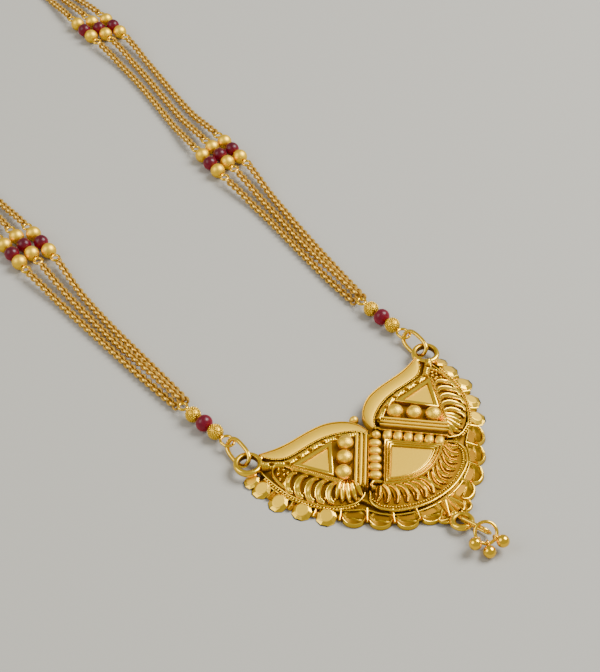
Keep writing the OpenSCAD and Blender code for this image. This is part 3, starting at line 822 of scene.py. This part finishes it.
def pillow(wide, squash, power=2.6):
    """A small grain, squashed and then pushed out towards a square before it is turned to its row.

    Points at angle a go out by (|cos a|^n + |sin a|^n)^(-1/n).
    """
    points, faces, relief = turned(PILLOW * [wide, 0.9], 32, DOME_RELIEF, squash=squash)
    a = np.arctan2(points[:, 1], points[:, 0])
    out = (np.abs(np.cos(a)) ** power + np.abs(np.sin(a)) ** power) ** (-1 / power)
    return points * np.column_stack([out, out, np.ones_like(out)]) @ rotation(ROW_TURN).T, faces, relief


large_grain = turned(DOME * [1.38, 1.15], 36, DOME_RELIEF)
add_piece("large_grains", mirrored(copies(large_grain, at_height(GRAINS, GRAIN_Z))), GOLD_FROSTED)
row = at_height(np.linspace(ROW_START, ROW_END, 6), ROW_Z)
small_grains = [
    copies(pillow(1.08, 0.76), row),
    mirror_image(copies(pillow(1.2, 0.68), row[:5])),
    turned(DOME * [0.85, 0.95], 24, DOME_RELIEF, (0, 2.9, 2.05)),
    turned(DOME * [0.8, 0.85], 28, DOME_RELIEF, (0.1, 8.5, 1.1)),
]
add_piece("small_grains", joined(small_grains), GOLD_SATIN)

# %% [markdown]
# ## Pitted gutter
# Between each band and its triangle runs a rough raised strip with a row of small pits, painted dark as
# shade. A strip is a grid along a line, and a pit is a bell curve taken away from its height, so pits need
# no cutting.

# %% Make the gutter
GUTTER = [(18.75, 9.95), (17.9, 9.15), (16.9, 8.4), (15.5, 7.45), (13.3, 7.2), (10.8, 7.25), (8.0, 7.1),
          (5.6, 6.45), (3.9, 5.6), (2.6, 4.9)]
PITS = [(17.6, 8.9), (15.5, 7.35), (13.3, 7.1), (10.8, 7.2), (8.05, 7.1), (5.4, 6.3)]
GUTTER_HALF, GUTTER_EDGE, GUTTER_RISE, GUTTER_FOOT = 0.62, 2.4, 0.45, 1.5
LUMP, PIT_DEPTH, PIT_RADIUS = 0.06, 0.8, 0.36


def pitted_strip(line, pits, columns=150, rows=13):
    """Height = edge + rise * (1 - |a|^3) + lumps - depth * exp(-(d / radius)^4) at each pit.

    a runs from -1 to 1 across, d is the distance to the pit, and the lumps are a product of two sines.
    """
    a = np.linspace(-1, 1, rows)[:, None]
    flat = beside(smooth_curve(line, columns), -a[..., None] * GUTTER_HALF)
    x, y = flat[..., 0], flat[..., 1]
    lumps = LUMP * np.sin(x * 9.5) * np.sin(y * 8.5 + x * 3)
    hole = sum(np.exp(-((np.linalg.norm(flat - np.array(p), axis=-1) / PIT_RADIUS) ** 4)) for p in pits)
    z = GUTTER_EDGE + GUTTER_RISE * (1 - np.abs(a) ** 3) + lumps - PIT_DEPTH * hole
    # Painted shading: darker in the pits, towards the sides and underneath, lighter on the lumps.
    level = np.clip(0.9 - 0.5 * a**2 + 5 * lumps - 1.2 * hole, 0, 1)
    points = with_underside(lifted(flat, z), GUTTER_FOOT)
    return shape(points, closed_band(2 * rows, columns), np.concatenate([level, 0 * level]))


add_piece("pitted_gutter", mirrored(pitted_strip(GUTTER, PITS)), GOLD_BRIGHT)

# %% [markdown]
# ## Rims and beaded wire
# A bright round wire runs round each leaf and along the skirt. At the leaves a beaded wire follows it,
# like the milled edge of a coin: outside the wire on a side leaf, inside it on the centre leaf. Finer
# beads lie in the grooves of the bars and under the bands. A bead is tiny, so it has only a few faces,
# and one array sum puts a whole line of them in place.

# %% Lines of the rims and of the beaded wire
SIDE_EDGE = [(0.75, 4.5), (3.1, 1.85), (6.1, -1.35), (9.0, -4.45), (10.3, -5.3), (11.6, -5.45), (13.1, -5.0),
             (14.9, -3.95), (16.8, -1.6), (18.5, 1.6), (19.2, 5.0), (19.35, 8.0), (19.2, 9.6)]
CENTRE_EDGE = [(8.55, -5.2), (9.75, -6.7), (9.75, -8.3), (8.8, -9.8), (7.5, -11.0), (4.8, -12.25),
               (2.4, -12.9), (-0.1, -13.1)]
SKIRT_WIRE = [(19.9, 6.6), (19.6, 4.0), (18.7, 1.3), (17.1, -1.6), (15.3, -3.9), (13.2, -5.6), (11.2, -7.2),
              (10.0, -9.1), (8.3, -10.9), (5.3, -12.6), (2.6, -13.4), (-0.1, -13.7)]
CENTRE_ROPE = [(9.3, -6.6), (9.15, -8.2), (8.3, -9.4), (7.1, -10.45), (4.6, -11.7), (2.3, -12.35),
               (0, -12.55)]
RIMS = [(SKIRT_WIRE, [0.85, 0.85, 0.7, 0.7], 0.17),
        (SIDE_EDGE, [2.3, 2.3, 2.3, 1.8, 1.35, 1.3, 1.3, 1.3, 1.3, 1.3], 0.16),
        (CENTRE_EDGE, [1.5, 1.3, 1.25, 1.25], 0.2)]
ROPE_OUT = 0.4


def bar_line(k):
    """Forty points on the line beside the middle bar."""
    return np.linspace(*beside_bar(k), 40)


# Each row: a flat line, the beads' height, their size and their spacing.
BEADED = [
    (bar_line(-0.38)[1:-1], 2.9, 0.8, 0.36),
    (bar_line(0.39)[1:-1], 2.9, 0.8, 0.36),
    (beside(smooth_curve(SIDE_EDGE[5:12], 120), ROPE_OUT), 1.22, 1.35, 0.5),
    (smooth_curve(CENTRE_ROPE, 120), 1.35, 1.0, 0.44),
    (smooth_curve(BAND_INNER, 120) - [0, 0.16], 2.2, 0.9, 0.36),
    (np.linspace((15.7, 6.15), (11.4, -1.4), 30), 2.95, 0.55, 0.3),
    (bar_line(-0.5), 3.02, 0.6, 0.32),
    (bar_line(0.5), 3.02, 0.6, 0.32),
]
print("beaded lines:", len(BEADED))

# %% Make the rims and the beaded wire
TINY_PROFILE = [(0.05, -0.17), (0.15, -0.08), (0.17, 0.02), (0.12, 0.12), (0.04, 0.17)]
# Each bead is painted in shade at its foot, lighter towards its top.
tiny = turned(TINY_PROFILE, 7, [0, 0.4, 0.9, 1, 1])


def beaded(line, z, size, step):
    """Small beads at even steps along a flat line."""
    places = even_steps(line, max(int(length_of(line) / step), 2))
    return copies(tiny, at_height(places, z), sizes=size)


def rim_wire(points, heights, radius, steps=140):
    """A wire through flat points whose height changes evenly from one given height to the next."""
    t = np.linspace(0, 1, steps)
    z = np.interp(t, np.linspace(0, 1, len(heights)), heights)
    # Painted shade on the underside of the rim wires, lighter on top.
    return tube(at_height(smooth_curve(points, steps), z), radius, relief=(0.1, 1.15))


add_piece("beaded_wires", mirrored(*[beaded(*row) for row in BEADED]), GOLD_WIRE)
add_piece("leaf_rims", mirrored(*[rim_wire(*row) for row in RIMS]), GOLD_WIRE)

# %% [markdown]
# ## Petal edge
# Nineteen small petals of folded sheet surround the pendant, with two smaller ones beside its eye. The
# upper ones are cut in facets round a flat satin disc that leans outwards; the lower ones are open cups
# with a crescent lip. A cup is one grid in polar form whose height is a sum of soft steps, so changing a
# step changes every cup. A faceted petal is lathe work with only nine sides, shaded flat, because a few
# plane faces sparkle as the cut metal does.

# %% The open cup
CUP_HALF, CUP_FRONT, CUP_BACK = 1.95, 1.68, 1.8


def cup_petal(around=48, rings=26):
    """p points outwards and q along the edge; r goes from the edge, 1, to the middle, 0.

    Height = 0.12 + 0.9 |q / 1.95|^3, so the cup rises to both sides. The lip is a round roll, 0.5 higher, in
    the crescent where r > 0.92 - 0.36 cos a. Behind it lie a slanting ridge and a back that climbs to the
    leaf.
    """
    a = circle(around)
    r = 1 - np.linspace(0, 1, rings)[:, None] ** 1.2
    r[-1] = 0.02
    front = np.clip(np.cos(a), 0, 1)
    p, q = r * np.where(np.cos(a) > 0, CUP_FRONT, CUP_BACK) * np.cos(a), r * CUP_HALF * np.sin(a)
    across = np.clip((r - 0.92 + 0.36 * front) / (0.08 + 0.36 * front), 0, 1)
    lip = np.sin(np.pi * across) ** 0.55 * step_up(np.cos(a) * 2.5 + 0.6)
    sides = np.abs(q / CUP_HALF)
    ridge = np.exp(-(((p + 0.15 + 0.3 * q) / 0.13) ** 2)) * (1 - lip)
    back = step_up((-p - 0.75) / 0.8)
    z = 0.12 + 0.9 * sides**3 + 0.5 * lip * (1 - 0.5 * sides**2) + 0.2 * ridge + 0.35 * back
    # Painted shade in the cup's hollow, lighter on the lip, the ridge, the sides and the back.
    level = np.clip(0.02 + lip + 0.75 * ridge + 0.5 * sides**4 + 0.2 * back, 0, 1)
    edge = step_up((1.0 - r) / 0.05)
    points = np.stack([p, q, z * edge + 0.04 * (1 - edge)], -1)
    points = np.concatenate([(points[0] * [0.97, 0.97, 0.0])[None], points])
    level = np.concatenate([np.zeros((1, around)), level])
    return shape(points, capped(rings + 1, around), level)


print("an open cup has", len(cup_petal()[0]), "points")

# %% Make the petals
PETALS = np.array([(21.1, 7.2), (20.8, 3.3), (19.0, -0.5), (16.8, -3.9), (13.7, -7.0), (10.7, -10.1),
                   (7.4, -12.9), (3.8, -14.5)])
OUTWARD = np.array([0, -10, -25, -35, -48, -52, -62, -76])
FACETED = 4
FACET_PROFILE = [(1.5, -0.9), (1.74, -0.35), (1.6, -0.1), (1.08, 0.22), (0.02, 0.22)]
DISC_PROFILE = [(1.0, 0.1), (1.04, 0.27), (0.98, 0.32), (0.85, 0.32), (0.02, 0.32)]
LEAN, LIFT, JUST_ABOVE = np.tan(np.radians(24)), 0.55, 0.02


def leaning(profile, sides, relief, turn=0.0):
    """Lathe work whose top leans outwards: z = lift + height - p * tan(lean), never below the table."""
    points, faces, relief = turned(profile, sides, relief, turn=turn)
    z = np.maximum(LIFT + points[:, 2] - points[:, 0] * LEAN, JUST_ABOVE)
    return at_height(points, z), faces, relief


# Painted shade at the foot of each faceted petal, and a little at the foot of each disc.
faceted = leaning(FACET_PROFILE, 9, [0.0, 0.5, 0.85, 0.7, 0.4], 20)
disc = leaning(DISC_PROFILE, 28, [0.3, 0.9, 1.0, 1.0, 1.0])
facet_places = np.concatenate([at_height(PETALS[:FACETED], 0.0), [(21.3, 9.5, 0.2)]])
facet_turns = [rotation(a) for a in (*OUTWARD[:FACETED], 25)]
facet_sizes = [1.0] * FACETED + [0.8]
open_cup = cup_petal()
cups = copies(open_cup, at_height(PETALS[FACETED:], 0.0), [rotation(a) for a in OUTWARD[FACETED:]])
bottom_cup = copies(open_cup, [(0.0, -15.9, 0.0)], rotation(-90))
tip_cups = copies(open_cup, [(1.75, -16.9, 0.37), (-2.75, -16.7, 0.27)],
                  [rotation(-55, -14), rotation(-125, -14)], 0.62)
add_piece("petal_cups", joined([mirrored(cups), bottom_cup, tip_cups]), GOLD_BRIGHT)
for name, petal, metal in (("petal_facets", faceted, GOLD_BRIGHT), ("petal_discs", disc, GOLD_SATIN)):
    petals = copies(petal, facet_places, facet_turns, facet_sizes)
    add_piece(name, mirrored(petals), metal, smooth=petal is disc)

# %% [markdown]
# ## Folds between the petals
# Where two petals meet, the sheet is pinched up into a sharp fold that runs back to the leaf. It is a
# swept section again, this time a triangle that gets lower towards the outside.

# %% Make the folds
# Each fold is painted in shade at its foot, bright along its crest.
FOLD_SECTION = symmetric([(1.0, -0.3, 0.0), (0.7, 0.2, 0.3), (0.15, 0.95, 1.0), (0.0, 1.0, 1.0)])
# Each row near the eye: place, direction and size.
EYE_FOLDS = [((1.95, -15.4), -83, 1.0), ((0.5, -15.9), -84, 1.25), ((1.5, -16.1), -62, 1.2)]


def fold(place, turn, size=1.0):
    """From 1.7 mm behind the meeting point to 0.6 mm in front of it, sinking and narrowing on the way."""
    angle = np.radians(turn)
    t = np.linspace(0, 1, 8)
    flat = np.asarray(place) + size * (-1.7 + 2.3 * t)[:, None] * [np.cos(angle), np.sin(angle)]
    return swept(at_height(flat, 0.3 * size), FOLD_SECTION, size * (0.85 - 0.5 * t), size * (1.0 - 0.6 * t))


folds = [fold(*row) for row in zip((PETALS[1:] + PETALS[:-1]) / 2, (OUTWARD[1:] + OUTWARD[:-1]) / 2)]
folds += [fold(*row) for row in EYE_FOLDS]
add_piece("petal_folds", mirrored(*folds), GOLD_BRIGHT, smooth=False)

# %% [markdown]
# ## Lugs and eye
# The two lugs are thick rounded rings soldered to the ends of the bands, and a heavier ring at the bottom
# is the eye that carries the drop. Their holes are the solid model's own, so the rings through them still
# fit.

# %% Make the lugs and the eye
LUG_AT, LUG_IN, LUG_OUT, LUG_LOW, LUG_HIGH = (20.0, 12.0, 0.0), 1.55, 2.47, 1.0, 2.2
LUG_NECK = [(17.4, 11.7, 1.7), (18.0, 11.4, 1.6), (18.6, 10.6, 1.4), (19.2, 9.9, 1.1)]
EYE_AT, EYE_R, EYE_TUBE, EYE_LEAN = (-1.3, -18.95, 1.05), 1.5, 0.55, -10
COLLAR_AT, COLLAR = (-1.0, -16.95, 0.0), [(0.5, 0.1), (0.72, 0.35), (0.7, 0.8), (0.5, 1.15), (0.1, 1.25)]
# Painted shade inside the hole of each lug and of the eye, lighter on their outside.
INSIDE_DARK = np.clip(0.75 + 0.8 * np.cos(circle(16)), 0, 1)


def ring_of(section, sides, relief=1.0, centre=(0.0, 0.0, 0.0), lean=0.0):
    """A closed section turned round an axis: a ring with a hole, (r, z) given all the way round."""
    r, z = np.asarray(section, float).T[..., None]
    angle = circle(sides)
    points = np.stack([r * np.cos(angle), r * np.sin(angle), z + 0 * angle], -1)
    points = points @ rotation(0, 0, lean).T + centre
    return shape(points, [grid_faces(len(r), sides, wrap_rows=True)], each_ring(relief, len(r), sides))


def round_section(r_in, r_out, low, high, power=0.7):
    """A soft-cornered section: cos and sin, each its sign times its size to a power; 1 gives an ellipse."""
    a = circle(len(INSIDE_DARK))
    return np.column_stack([(r_in + r_out) / 2 + (r_out - r_in) / 2 * squared(np.cos(a), power),
                            (low + high) / 2 + (high - low) / 2 * squared(np.sin(a), power)])


lug = ring_of(round_section(LUG_IN, LUG_OUT, LUG_LOW, LUG_HIGH), 56, INSIDE_DARK, LUG_AT)
# The neck is painted in shade underneath.
neck = tube(smooth_curve(LUG_NECK, 12), 0.5, relief=(0.3, 1.0))
eye_section = round_section(EYE_R - EYE_TUBE, EYE_R + EYE_TUBE, -EYE_TUBE, EYE_TUBE, power=1.0)
eye = ring_of(eye_section, 56, INSIDE_DARK, EYE_AT, EYE_LEAN)
add_piece("lugs", mirrored(lug, neck), GOLD_BRIGHT)
add_piece("bottom_eye", joined([eye, turned(COLLAR, 20, centre=COLLAR_AT)]), GOLD_BRIGHT)

# %% [markdown]
# ## Chains
# Each of the six long chains is a fine cable: short, nearly round links, every one turned a quarter round
# from the last. The route is the solid model's own, a cubic that leaves one station and arrives at the
# next along its rows. One link is made once, and all the links of a run are placed by one sum over an
# array of frames.

# %% The route of every chain
AXIS_Z, CHAIN_LOW, STRAND_GAP = 1.45, 0.66, 3.05
# From a station's middle to its first link: a bead and a half, the loop of the pin and a small ring.
STATION_END = 6.85
# Each station: x, y, direction, and how far each of its three rows is moved along.
STATIONS = [
    [(-17.5, 82, 5, (-0.3, 0.6, -0.5)), (-12.2, 137.2, 6, (0.4, -0.3, 0.2)), (-5, 192.2, 10, (-0.2, 0.3, 0))],
    [(28.1, 80.3, 7, (-0.9, 0.4, 0.6)), (36.2, 134.4, 5, (1.1, 0, -1)), (37.2, 189.9, -4, (0, 0.4, -0.3))],
]
GATHER = [(-19.55, 30.95, 1), (21.15, 30.95, 6)]
GATHER_SIDE, GATHER_HIGH = (-1.05, 0, 1.05), (0.75, 1.95, 0.75)
EASE_FIRST, EASE_REST = (0.2, 0.55, 0.2), 0.22
CLASP = np.array([17.0, 222.0, 1.75])
CHAIN_END_X, CHAIN_END_SIDE, CHAIN_END_Z = 9.3, (-1.5, 0, 1.5), 1.5
SPREAD, SPREAD_FIRST, REACH = 3, 6, 0.38


def heading(a):
    """The direction at angle a from +Y towards +X."""
    return np.array([np.sin(np.radians(a)), np.cos(np.radians(a)), 0])


def across(a):
    """The direction to the right of that heading."""
    return heading(a + 90)


def station_point(station, k, ahead):
    """A place on row k of a station, so far ahead of its middle."""
    x, y, angle, steps = station
    sideways, onward = across(angle) * (k - 1) * STRAND_GAP, heading(angle) * (steps[k] + ahead)
    return np.array([x, y, AXIS_Z]) + sideways + onward


def chain_ends(s, g, k):
    """Start, direction there, end, direction there, of chain k in run g of side s."""
    if g == 0:
        x, y, angle = GATHER[s]
        start = np.array([x, y, GATHER_HIGH[k]]) + across(angle) * GATHER_SIDE[k]
        leave = heading(angle + (k - 1) * SPREAD)
    else:
        start = station_point(STATIONS[s][g - 1], k, STATION_END)
        leave = heading(STATIONS[s][g - 1][2] - (k - 1) * SPREAD)
    if g == 3:
        sign = -1 if s == 0 else 1
        end = np.array([CLASP[0] + sign * CHAIN_END_X, CLASP[1] + sign * CHAIN_END_SIDE[k], CHAIN_END_Z])
        arrive = np.array([-sign, 0.0, 0.0])
    else:
        end = station_point(STATIONS[s][g], k, -STATION_END)
        arrive = heading(STATIONS[s][g][2] + (k - 1) * (SPREAD_FIRST if g == 0 else SPREAD))
    return start, leave, end, arrive


def chain_route(s, g, k, count=200):
    """The cubic between the ends, with its height eased down to the table and up again."""
    a, leave, d, arrive = chain_ends(s, g, k)
    reach = np.linalg.norm(d - a) * REACH
    b, c = a + leave * reach, d - arrive * reach
    t = np.linspace(0, 1, count)[:, None]
    line = (1 - t) ** 3 * a + 3 * (1 - t) ** 2 * t * b + 3 * (1 - t) * t**2 * c + t**3 * d
    t = t[:, 0]
    down = a[2] + (CHAIN_LOW - a[2]) * step_up(t / (EASE_FIRST[k] if g == 0 else EASE_REST))
    up = d[2] + (CHAIN_LOW - d[2]) * step_up((1 - t) / EASE_REST)
    return at_height(line, np.maximum(down, up))


one_side = sum(length_of(chain_route(0, g, 1)) for g in range(4))
print("one chain is", round(one_side), "mm long without its stations")

# %% Links along each run
LINK_LONG, LINK_WIDE, LINK_WIRE, LINK_STEP, LINK_ROLL = 1.68, 1.6, 0.23, 0.74, 45
# Painted shade: a link is darkest near its long axis, at its ends where it hangs in its neighbours, and
# lighter farther out.
LINK_DARK_TO, LINK_BRIGHTENS_OVER = 0.28, 0.44
link_half = np.array([LINK_LONG, LINK_WIDE]) / 2 - LINK_WIRE
link_path = at_height(np.column_stack([np.cos(circle(12)), np.sin(circle(12))]) * link_half, 0.0)
link_points, link_faces, _ = tube(link_path, LINK_WIRE, sides=6, closed=True)
from_axis = np.linalg.norm(link_points[:, 1:], axis=1)
link_relief = np.clip((from_axis - LINK_DARK_TO) / LINK_BRIGHTENS_OVER, 0.0, 1.0)
link = shape(link_points, link_faces, link_relief)


def rolled_axes(x, roll):
    """Frames with a given X and a level Y, rolled about X by roll degrees."""
    y = unit(np.cross([0, 0, 1.0], x))
    z = np.cross(x, y)
    a = np.asarray(np.radians(roll))[..., None]
    return np.stack([x, y * np.cos(a) + z * np.sin(a), z * np.cos(a) - y * np.sin(a)], -1)


def links_along(line):
    """A link every LINK_STEP, its X along the chain, rolled to one side and the other in turn."""
    count = max(int(length_of(line) / LINK_STEP), 2)
    places = even_steps(line, count)
    roll = np.where(np.arange(count) % 2, LINK_ROLL, -LINK_ROLL)
    return copies(link, places, rolled_axes(unit(np.gradient(places, axis=0)), roll))


for s, side in enumerate(SIDES):
    for g in range(4):
        run = joined([links_along(chain_route(s, g, k)) for k in range(3)])
        add_piece(f"{side}_chain_{g + 1}", run, GOLD_CHAIN, [f"{side}_strands_{g + 1}"])

# %% [markdown]
# ## Beads
# Every bead is turned: a profile from the hole at one end to the hole at the other. Plain gold beads are
# nearly round, red ones are fuller at their ends, and the grained ones beside the pendant carry many tiny
# balls, placed on a spiral that covers a sphere evenly.

# %% Beads of the stations
BEAD_STEP, BEAD_END, BORE, BORE_EDGE, BORE_INSET = 3.0, 78, 0.35, 0.03, 0.05
GOLD_R, RED_R, FRONT_RED_R = 1.45, 1.4, 1.5


def bead_shape(radius, half_length, power=1.0, sides=32):
    """A bead along X: radius * cos(a)^power against half_length * sin(a), closed through its bore."""
    a = np.radians(np.linspace(-BEAD_END, BEAD_END, 23))
    r = np.maximum(radius * np.cos(a) ** power, BORE + BORE_EDGE)
    x = half_length * np.sin(a) / np.sin(a[-1])
    bore = [(BORE, x[-1] - BORE_INSET), (BORE, x[0] + BORE_INSET)]
    section = np.concatenate([np.column_stack([r, x]), bore])
    points, faces, relief = ring_of(section, sides)
    return points[:, [2, 0, 1]], faces, relief


def row_of(station, ahead):
    """Places of the three beads of one row of a station, and their turn."""
    return [station_point(station, k, ahead) for k in range(3)], rotation(90 - station[2])


def glowing(made, radius):
    """Painted glow at the foot and painted shade at the crown: relief = (1.05 - z / 2.2r)^1.5, 1 at the foot
    of a bead that lies on the table, near 0 at its crown.
    """
    points, faces, _ = made
    return points, faces, np.clip(1.05 - points[:, 2] / (2.2 * radius), 0, 1) ** 1.5


gold_bead = bead_shape(GOLD_R, 1.43)
red_bead = bead_shape(RED_R, 1.36, power=0.92)
for s, side in enumerate(SIDES):
    for g, station in enumerate(STATIONS[s]):
        golds = joined([copies(gold_bead, *row_of(station, ahead)) for ahead in (-BEAD_STEP, BEAD_STEP)])
        add_piece(f"{side}_gold_round_{g + 1}", golds, GOLD_SATIN, replaces=[f"{side}_gold_beads_{g + 1}"])
        # Painted glow at the feet of the red beads, painted shade on their tops.
        reds = glowing(copies(red_bead, *row_of(station, 0.0)), RED_R)
        add_piece(f"{side}_red_round_{g + 1}", reds, RUBY, [f"{side}_ruby_beads_{g + 1}"])

# %% Beads beside the pendant
PIN_START = np.array([(-19.2, 17.18, 1.5), (20.75, 17.18, 1.5)])
PIN_END = np.array([(-20.2, 30.3, 1.5), (20.65, 30.3, 1.5)])
FRONT_AT = (4.15, 6.95, 9.75)
# CORE_DARK is the painted shade on the core between the grains; FRONT_GLOW sets how far up the painted glow
# of the front red bead reaches.
GRAIN_COUNT, GRAIN_SHELL, NEAR_BORE, CORE_DARK, FRONT_GLOW = 150, 1.27, 0.38, 0.55, 1.72
BALL_PROFILE = [(0.03, -0.15), (0.11, -0.1), (0.15, 0.0), (0.11, 0.1), (0.03, 0.15)]


def spiral_sphere(count):
    """Even directions over a sphere: x = 1 - (2k + 1) / n, turned by the golden angle each time."""
    k = np.arange(count)
    x = 1 - (2 * k + 1) / count
    a = k * np.pi * (3 - 5**0.5)
    r = np.sqrt(1 - x * x)
    return np.column_stack([x, r * np.cos(a), r * np.sin(a)])


grain_dirs = spiral_sphere(GRAIN_COUNT)
grain_dirs = grain_dirs[np.linalg.norm(grain_dirs[:, 1:], axis=1) > NEAR_BORE]
# Each small grain is painted a little darker at its foot.
small_ball = turned(BALL_PROFILE, 7, [0.6, 0.7, 1, 1, 1])
core_points, core_faces, _ = bead_shape(1.28, 1.36)
grained = joined([shape(core_points, core_faces, CORE_DARK), copies(small_ball, grain_dirs * GRAIN_SHELL)])
front_red = bead_shape(FRONT_RED_R, 1.28, power=0.85)
for s, side in enumerate(SIDES):
    way = unit(PIN_END[s] - PIN_START[s])
    turn = rotation(np.degrees(np.arctan2(way[1], way[0])))
    lower, middle, upper = ([PIN_START[s] + way * d] for d in FRONT_AT)
    # Painted glow at the foot of the front red bead, painted shade on its top.
    red = glowing(copies(front_red, middle, turn), FRONT_GLOW)
    add_piece(f"{side}_grained_lower", copies(grained, lower, turn), GOLD_WIRE,
              replaces=[f"{side}_lower_grain_bead"])
    add_piece(f"{side}_red_front", red, RUBY, [f"{side}_front_ruby"])
    add_piece(f"{side}_grained_upper", copies(grained, upper, turn), GOLD_WIRE,
              replaces=[f"{side}_upper_grain_bead"])

# %% [markdown]
# ## Rings in the lugs
# A bent oval ring joins each lug to the pin of its beads. The solid has straight sides, but a ring bent
# round a mandrel bows outwards, so it is drawn again: a closed path between an ellipse and an oblong,
# carrying a round section.

# %% Make the rings in the lugs
LUG_RING_NEAR = np.array([(-19.9, 12.35, 1.6), (20.1, 12.35, 1.6)])
LUG_RING_FAR = np.array([(-19.25, 18.02, 1.6), (20.75, 18.02, 1.6)])
LUG_RING_HALF, LUG_RING_ROLL, LUG_RING_WIRE = 1.46, -52, 0.37


def bowed_oval(length, half, power=2.7, steps=56, fine=400):
    """|x / a|^power + |y / b|^power = 1, a half the length and b half the width, walked at even steps."""
    c, s = squared(np.cos(circle(fine)), 2 / power), squared(np.sin(circle(fine)), 2 / power)
    line = np.column_stack([length / 2 * (1 + c), half * s])
    return even_steps(np.concatenate([line, line[:1]]), steps + 1)[:-1]


for side, near, far in zip(SIDES, LUG_RING_NEAR, LUG_RING_FAR):
    axes = rolled_axes(unit(far - near), LUG_RING_ROLL)
    path = at_height(bowed_oval(np.linalg.norm(far - near), LUG_RING_HALF), 0.0) @ axes.T + near
    ring = tube(path, LUG_RING_WIRE, sides=14, closed=True, up=axes[:, 2])
    add_piece(f"{side}_lug_ring_wire", ring, GOLD_POLISHED, replaces=[f"{side}_lug_ring"])

# %% [markdown]
# ## The clasp
# The two ends of the necklace meet in a small screw barrel at the back. It is lathe work laid on its
# side: a bright tube, a raised band near each end, and two fluted collars with the seam between them. The
# flutes are pressed into the finished points, because a lathe alone only makes round things. A ring at
# each end takes the ring of the chains.

# %% Make the clasp
# Half of the barrel: distance from the middle, radius and relief, which paints shade in the seam and the
# grooves.
CLASP_HALF = [(0.03, 1.62, 0.0), (0.1, 1.7, 0.6), (0.5, 1.7, 1.0), (0.62, 1.64, 0.8), (0.7, 1.5, 0.0),
              (0.8, 1.53, 0.8), (1.6, 1.55, 1.0), (2.6, 1.53, 1.0), (3.25, 1.48, 0.8), (3.3, 1.46, 0.3),
              (3.36, 1.6, 0.5), (3.45, 1.68, 1.0), (3.7, 1.68, 1.0), (3.79, 1.6, 0.5), (3.85, 1.45, 0.3),
              (4.1, 1.36, 0.9), (4.35, 1.1, 1.0), (4.47, 0.75, 0.8), (4.5, 0.3, 0.5)]
CLASP_RING, CLASP_WIRE, CLASP_RING_X = 1.0, 0.35, 5.3
# FLUTE_DARK paints shade in the flutes of the collars.
FLUTE_COUNT, FLUTE_DEPTH, FLUTE_FROM, FLUTE_TO, FLUTE_DARK = 22, 0.07, 0.08, 0.65, 7
barrel_table = np.array([(-x, r, level) for x, r, level in CLASP_HALF[::-1]] + CLASP_HALF)
barrel_points, barrel_faces, barrel_relief = turned(barrel_table[:, [1, 0]], 4 * FLUTE_COUNT,
                                                    barrel_table[:, 2])
from_middle, barrel_angle = np.abs(barrel_points[:, 2]), np.arctan2(barrel_points[:, 1], barrel_points[:, 0])
on_collar = (from_middle > FLUTE_FROM) & (from_middle < FLUTE_TO)
pressed = FLUTE_DEPTH * on_collar * (0.5 - 0.5 * np.cos(FLUTE_COUNT * barrel_angle))
barrel_points = barrel_points * np.column_stack([1 - pressed, 1 - pressed, np.ones_like(pressed)])
barrel = shape(barrel_points, barrel_faces, barrel_relief * (1 - FLUTE_DARK * pressed))
ring_angle = circle(40)
ring_path = CLASP_RING * np.column_stack([np.cos(ring_angle), np.zeros(40), np.sin(ring_angle)])
clasp_ring = tube(ring_path, CLASP_WIRE, sides=12, closed=True, up=(0.0, 1.0, 0.0))
clasp_rings = copies(clasp_ring, [CLASP + [x, 0, 0] for x in (-CLASP_RING_X, CLASP_RING_X)])
laid = copies(barrel, [CLASP], rotation(0, 90))
add_piece("barrel_clasp", joined([laid, clasp_rings]), GOLD_BRIGHT, replaces=["clasp"])

# %% [markdown]
# ## Solid pieces that stay
# Pins, the small end rings and the drop are already right. They keep their solid mesh and get polished
# gold.

# %% Paint the remaining solids
kept = [name for name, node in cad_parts.items() if not node.hide_render]
for name in kept:
    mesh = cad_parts[name].data
    mesh.materials.clear()
    mesh.materials.append(GOLD_POLISHED)
print("kept solids:", len(kept))

# %% [markdown]
# ## Table and light
# A pale matte table, one large soft lamp from the right and above, a weaker one from the left rear, and
# an evenly bright room, because gold shows mostly what it reflects.

# %% Table, room and lamps
TABLE_HALF, TABLE_Z = 3.0, -0.1 * MM
TABLE_COLOR, TABLE_ROUGH = (0.378, 0.366, 0.322, 1.0), 0.9
ROOM_COLOR, ROOM_STRENGTH = (1.0, 0.98, 0.95, 1.0), 0.55
LAMP_AIM = np.array([5.0, 20.0, 0.0])
floor_mesh = bpy.data.meshes.new("table")
floor_corners = [(x * TABLE_HALF, y * TABLE_HALF, TABLE_Z) for x, y in ((-1, -1), (1, -1), (1, 1), (-1, 1))]
floor_mesh.from_pydata(floor_corners, [], [(0, 1, 2, 3)])
floor_paint, _, _ = new_material("table_paint", {"Base Color": TABLE_COLOR, "Roughness": TABLE_ROUGH})
floor_mesh.materials.append(floor_paint)
floor = put_in_scene("table", floor_mesh)


def lamp(name, azimuth, elevation, distance, size, power):
    """A round soft lamp, size in metres and power in watts, aimed at the pendant."""
    data = bpy.data.lights.new(name, "AREA")
    data.shape, data.size, data.energy = "DISK", size, power
    aim_at(put_in_scene(name, data), LAMP_AIM, azimuth, elevation, distance)
    print(name, "lamp:", power, "W")


lamp("key", 70.0, 52.0, 700.0, 0.45, 9.0)
lamp("fill", -120.0, 40.0, 800.0, 0.6, 3.0)
world = bpy.data.worlds.new("room")
world.use_nodes = True
bpy.context.scene.world = world
world.node_tree.nodes["Background"].inputs["Color"].default_value = ROOM_COLOR
world.node_tree.nodes["Background"].inputs["Strength"].default_value = ROOM_STRENGTH
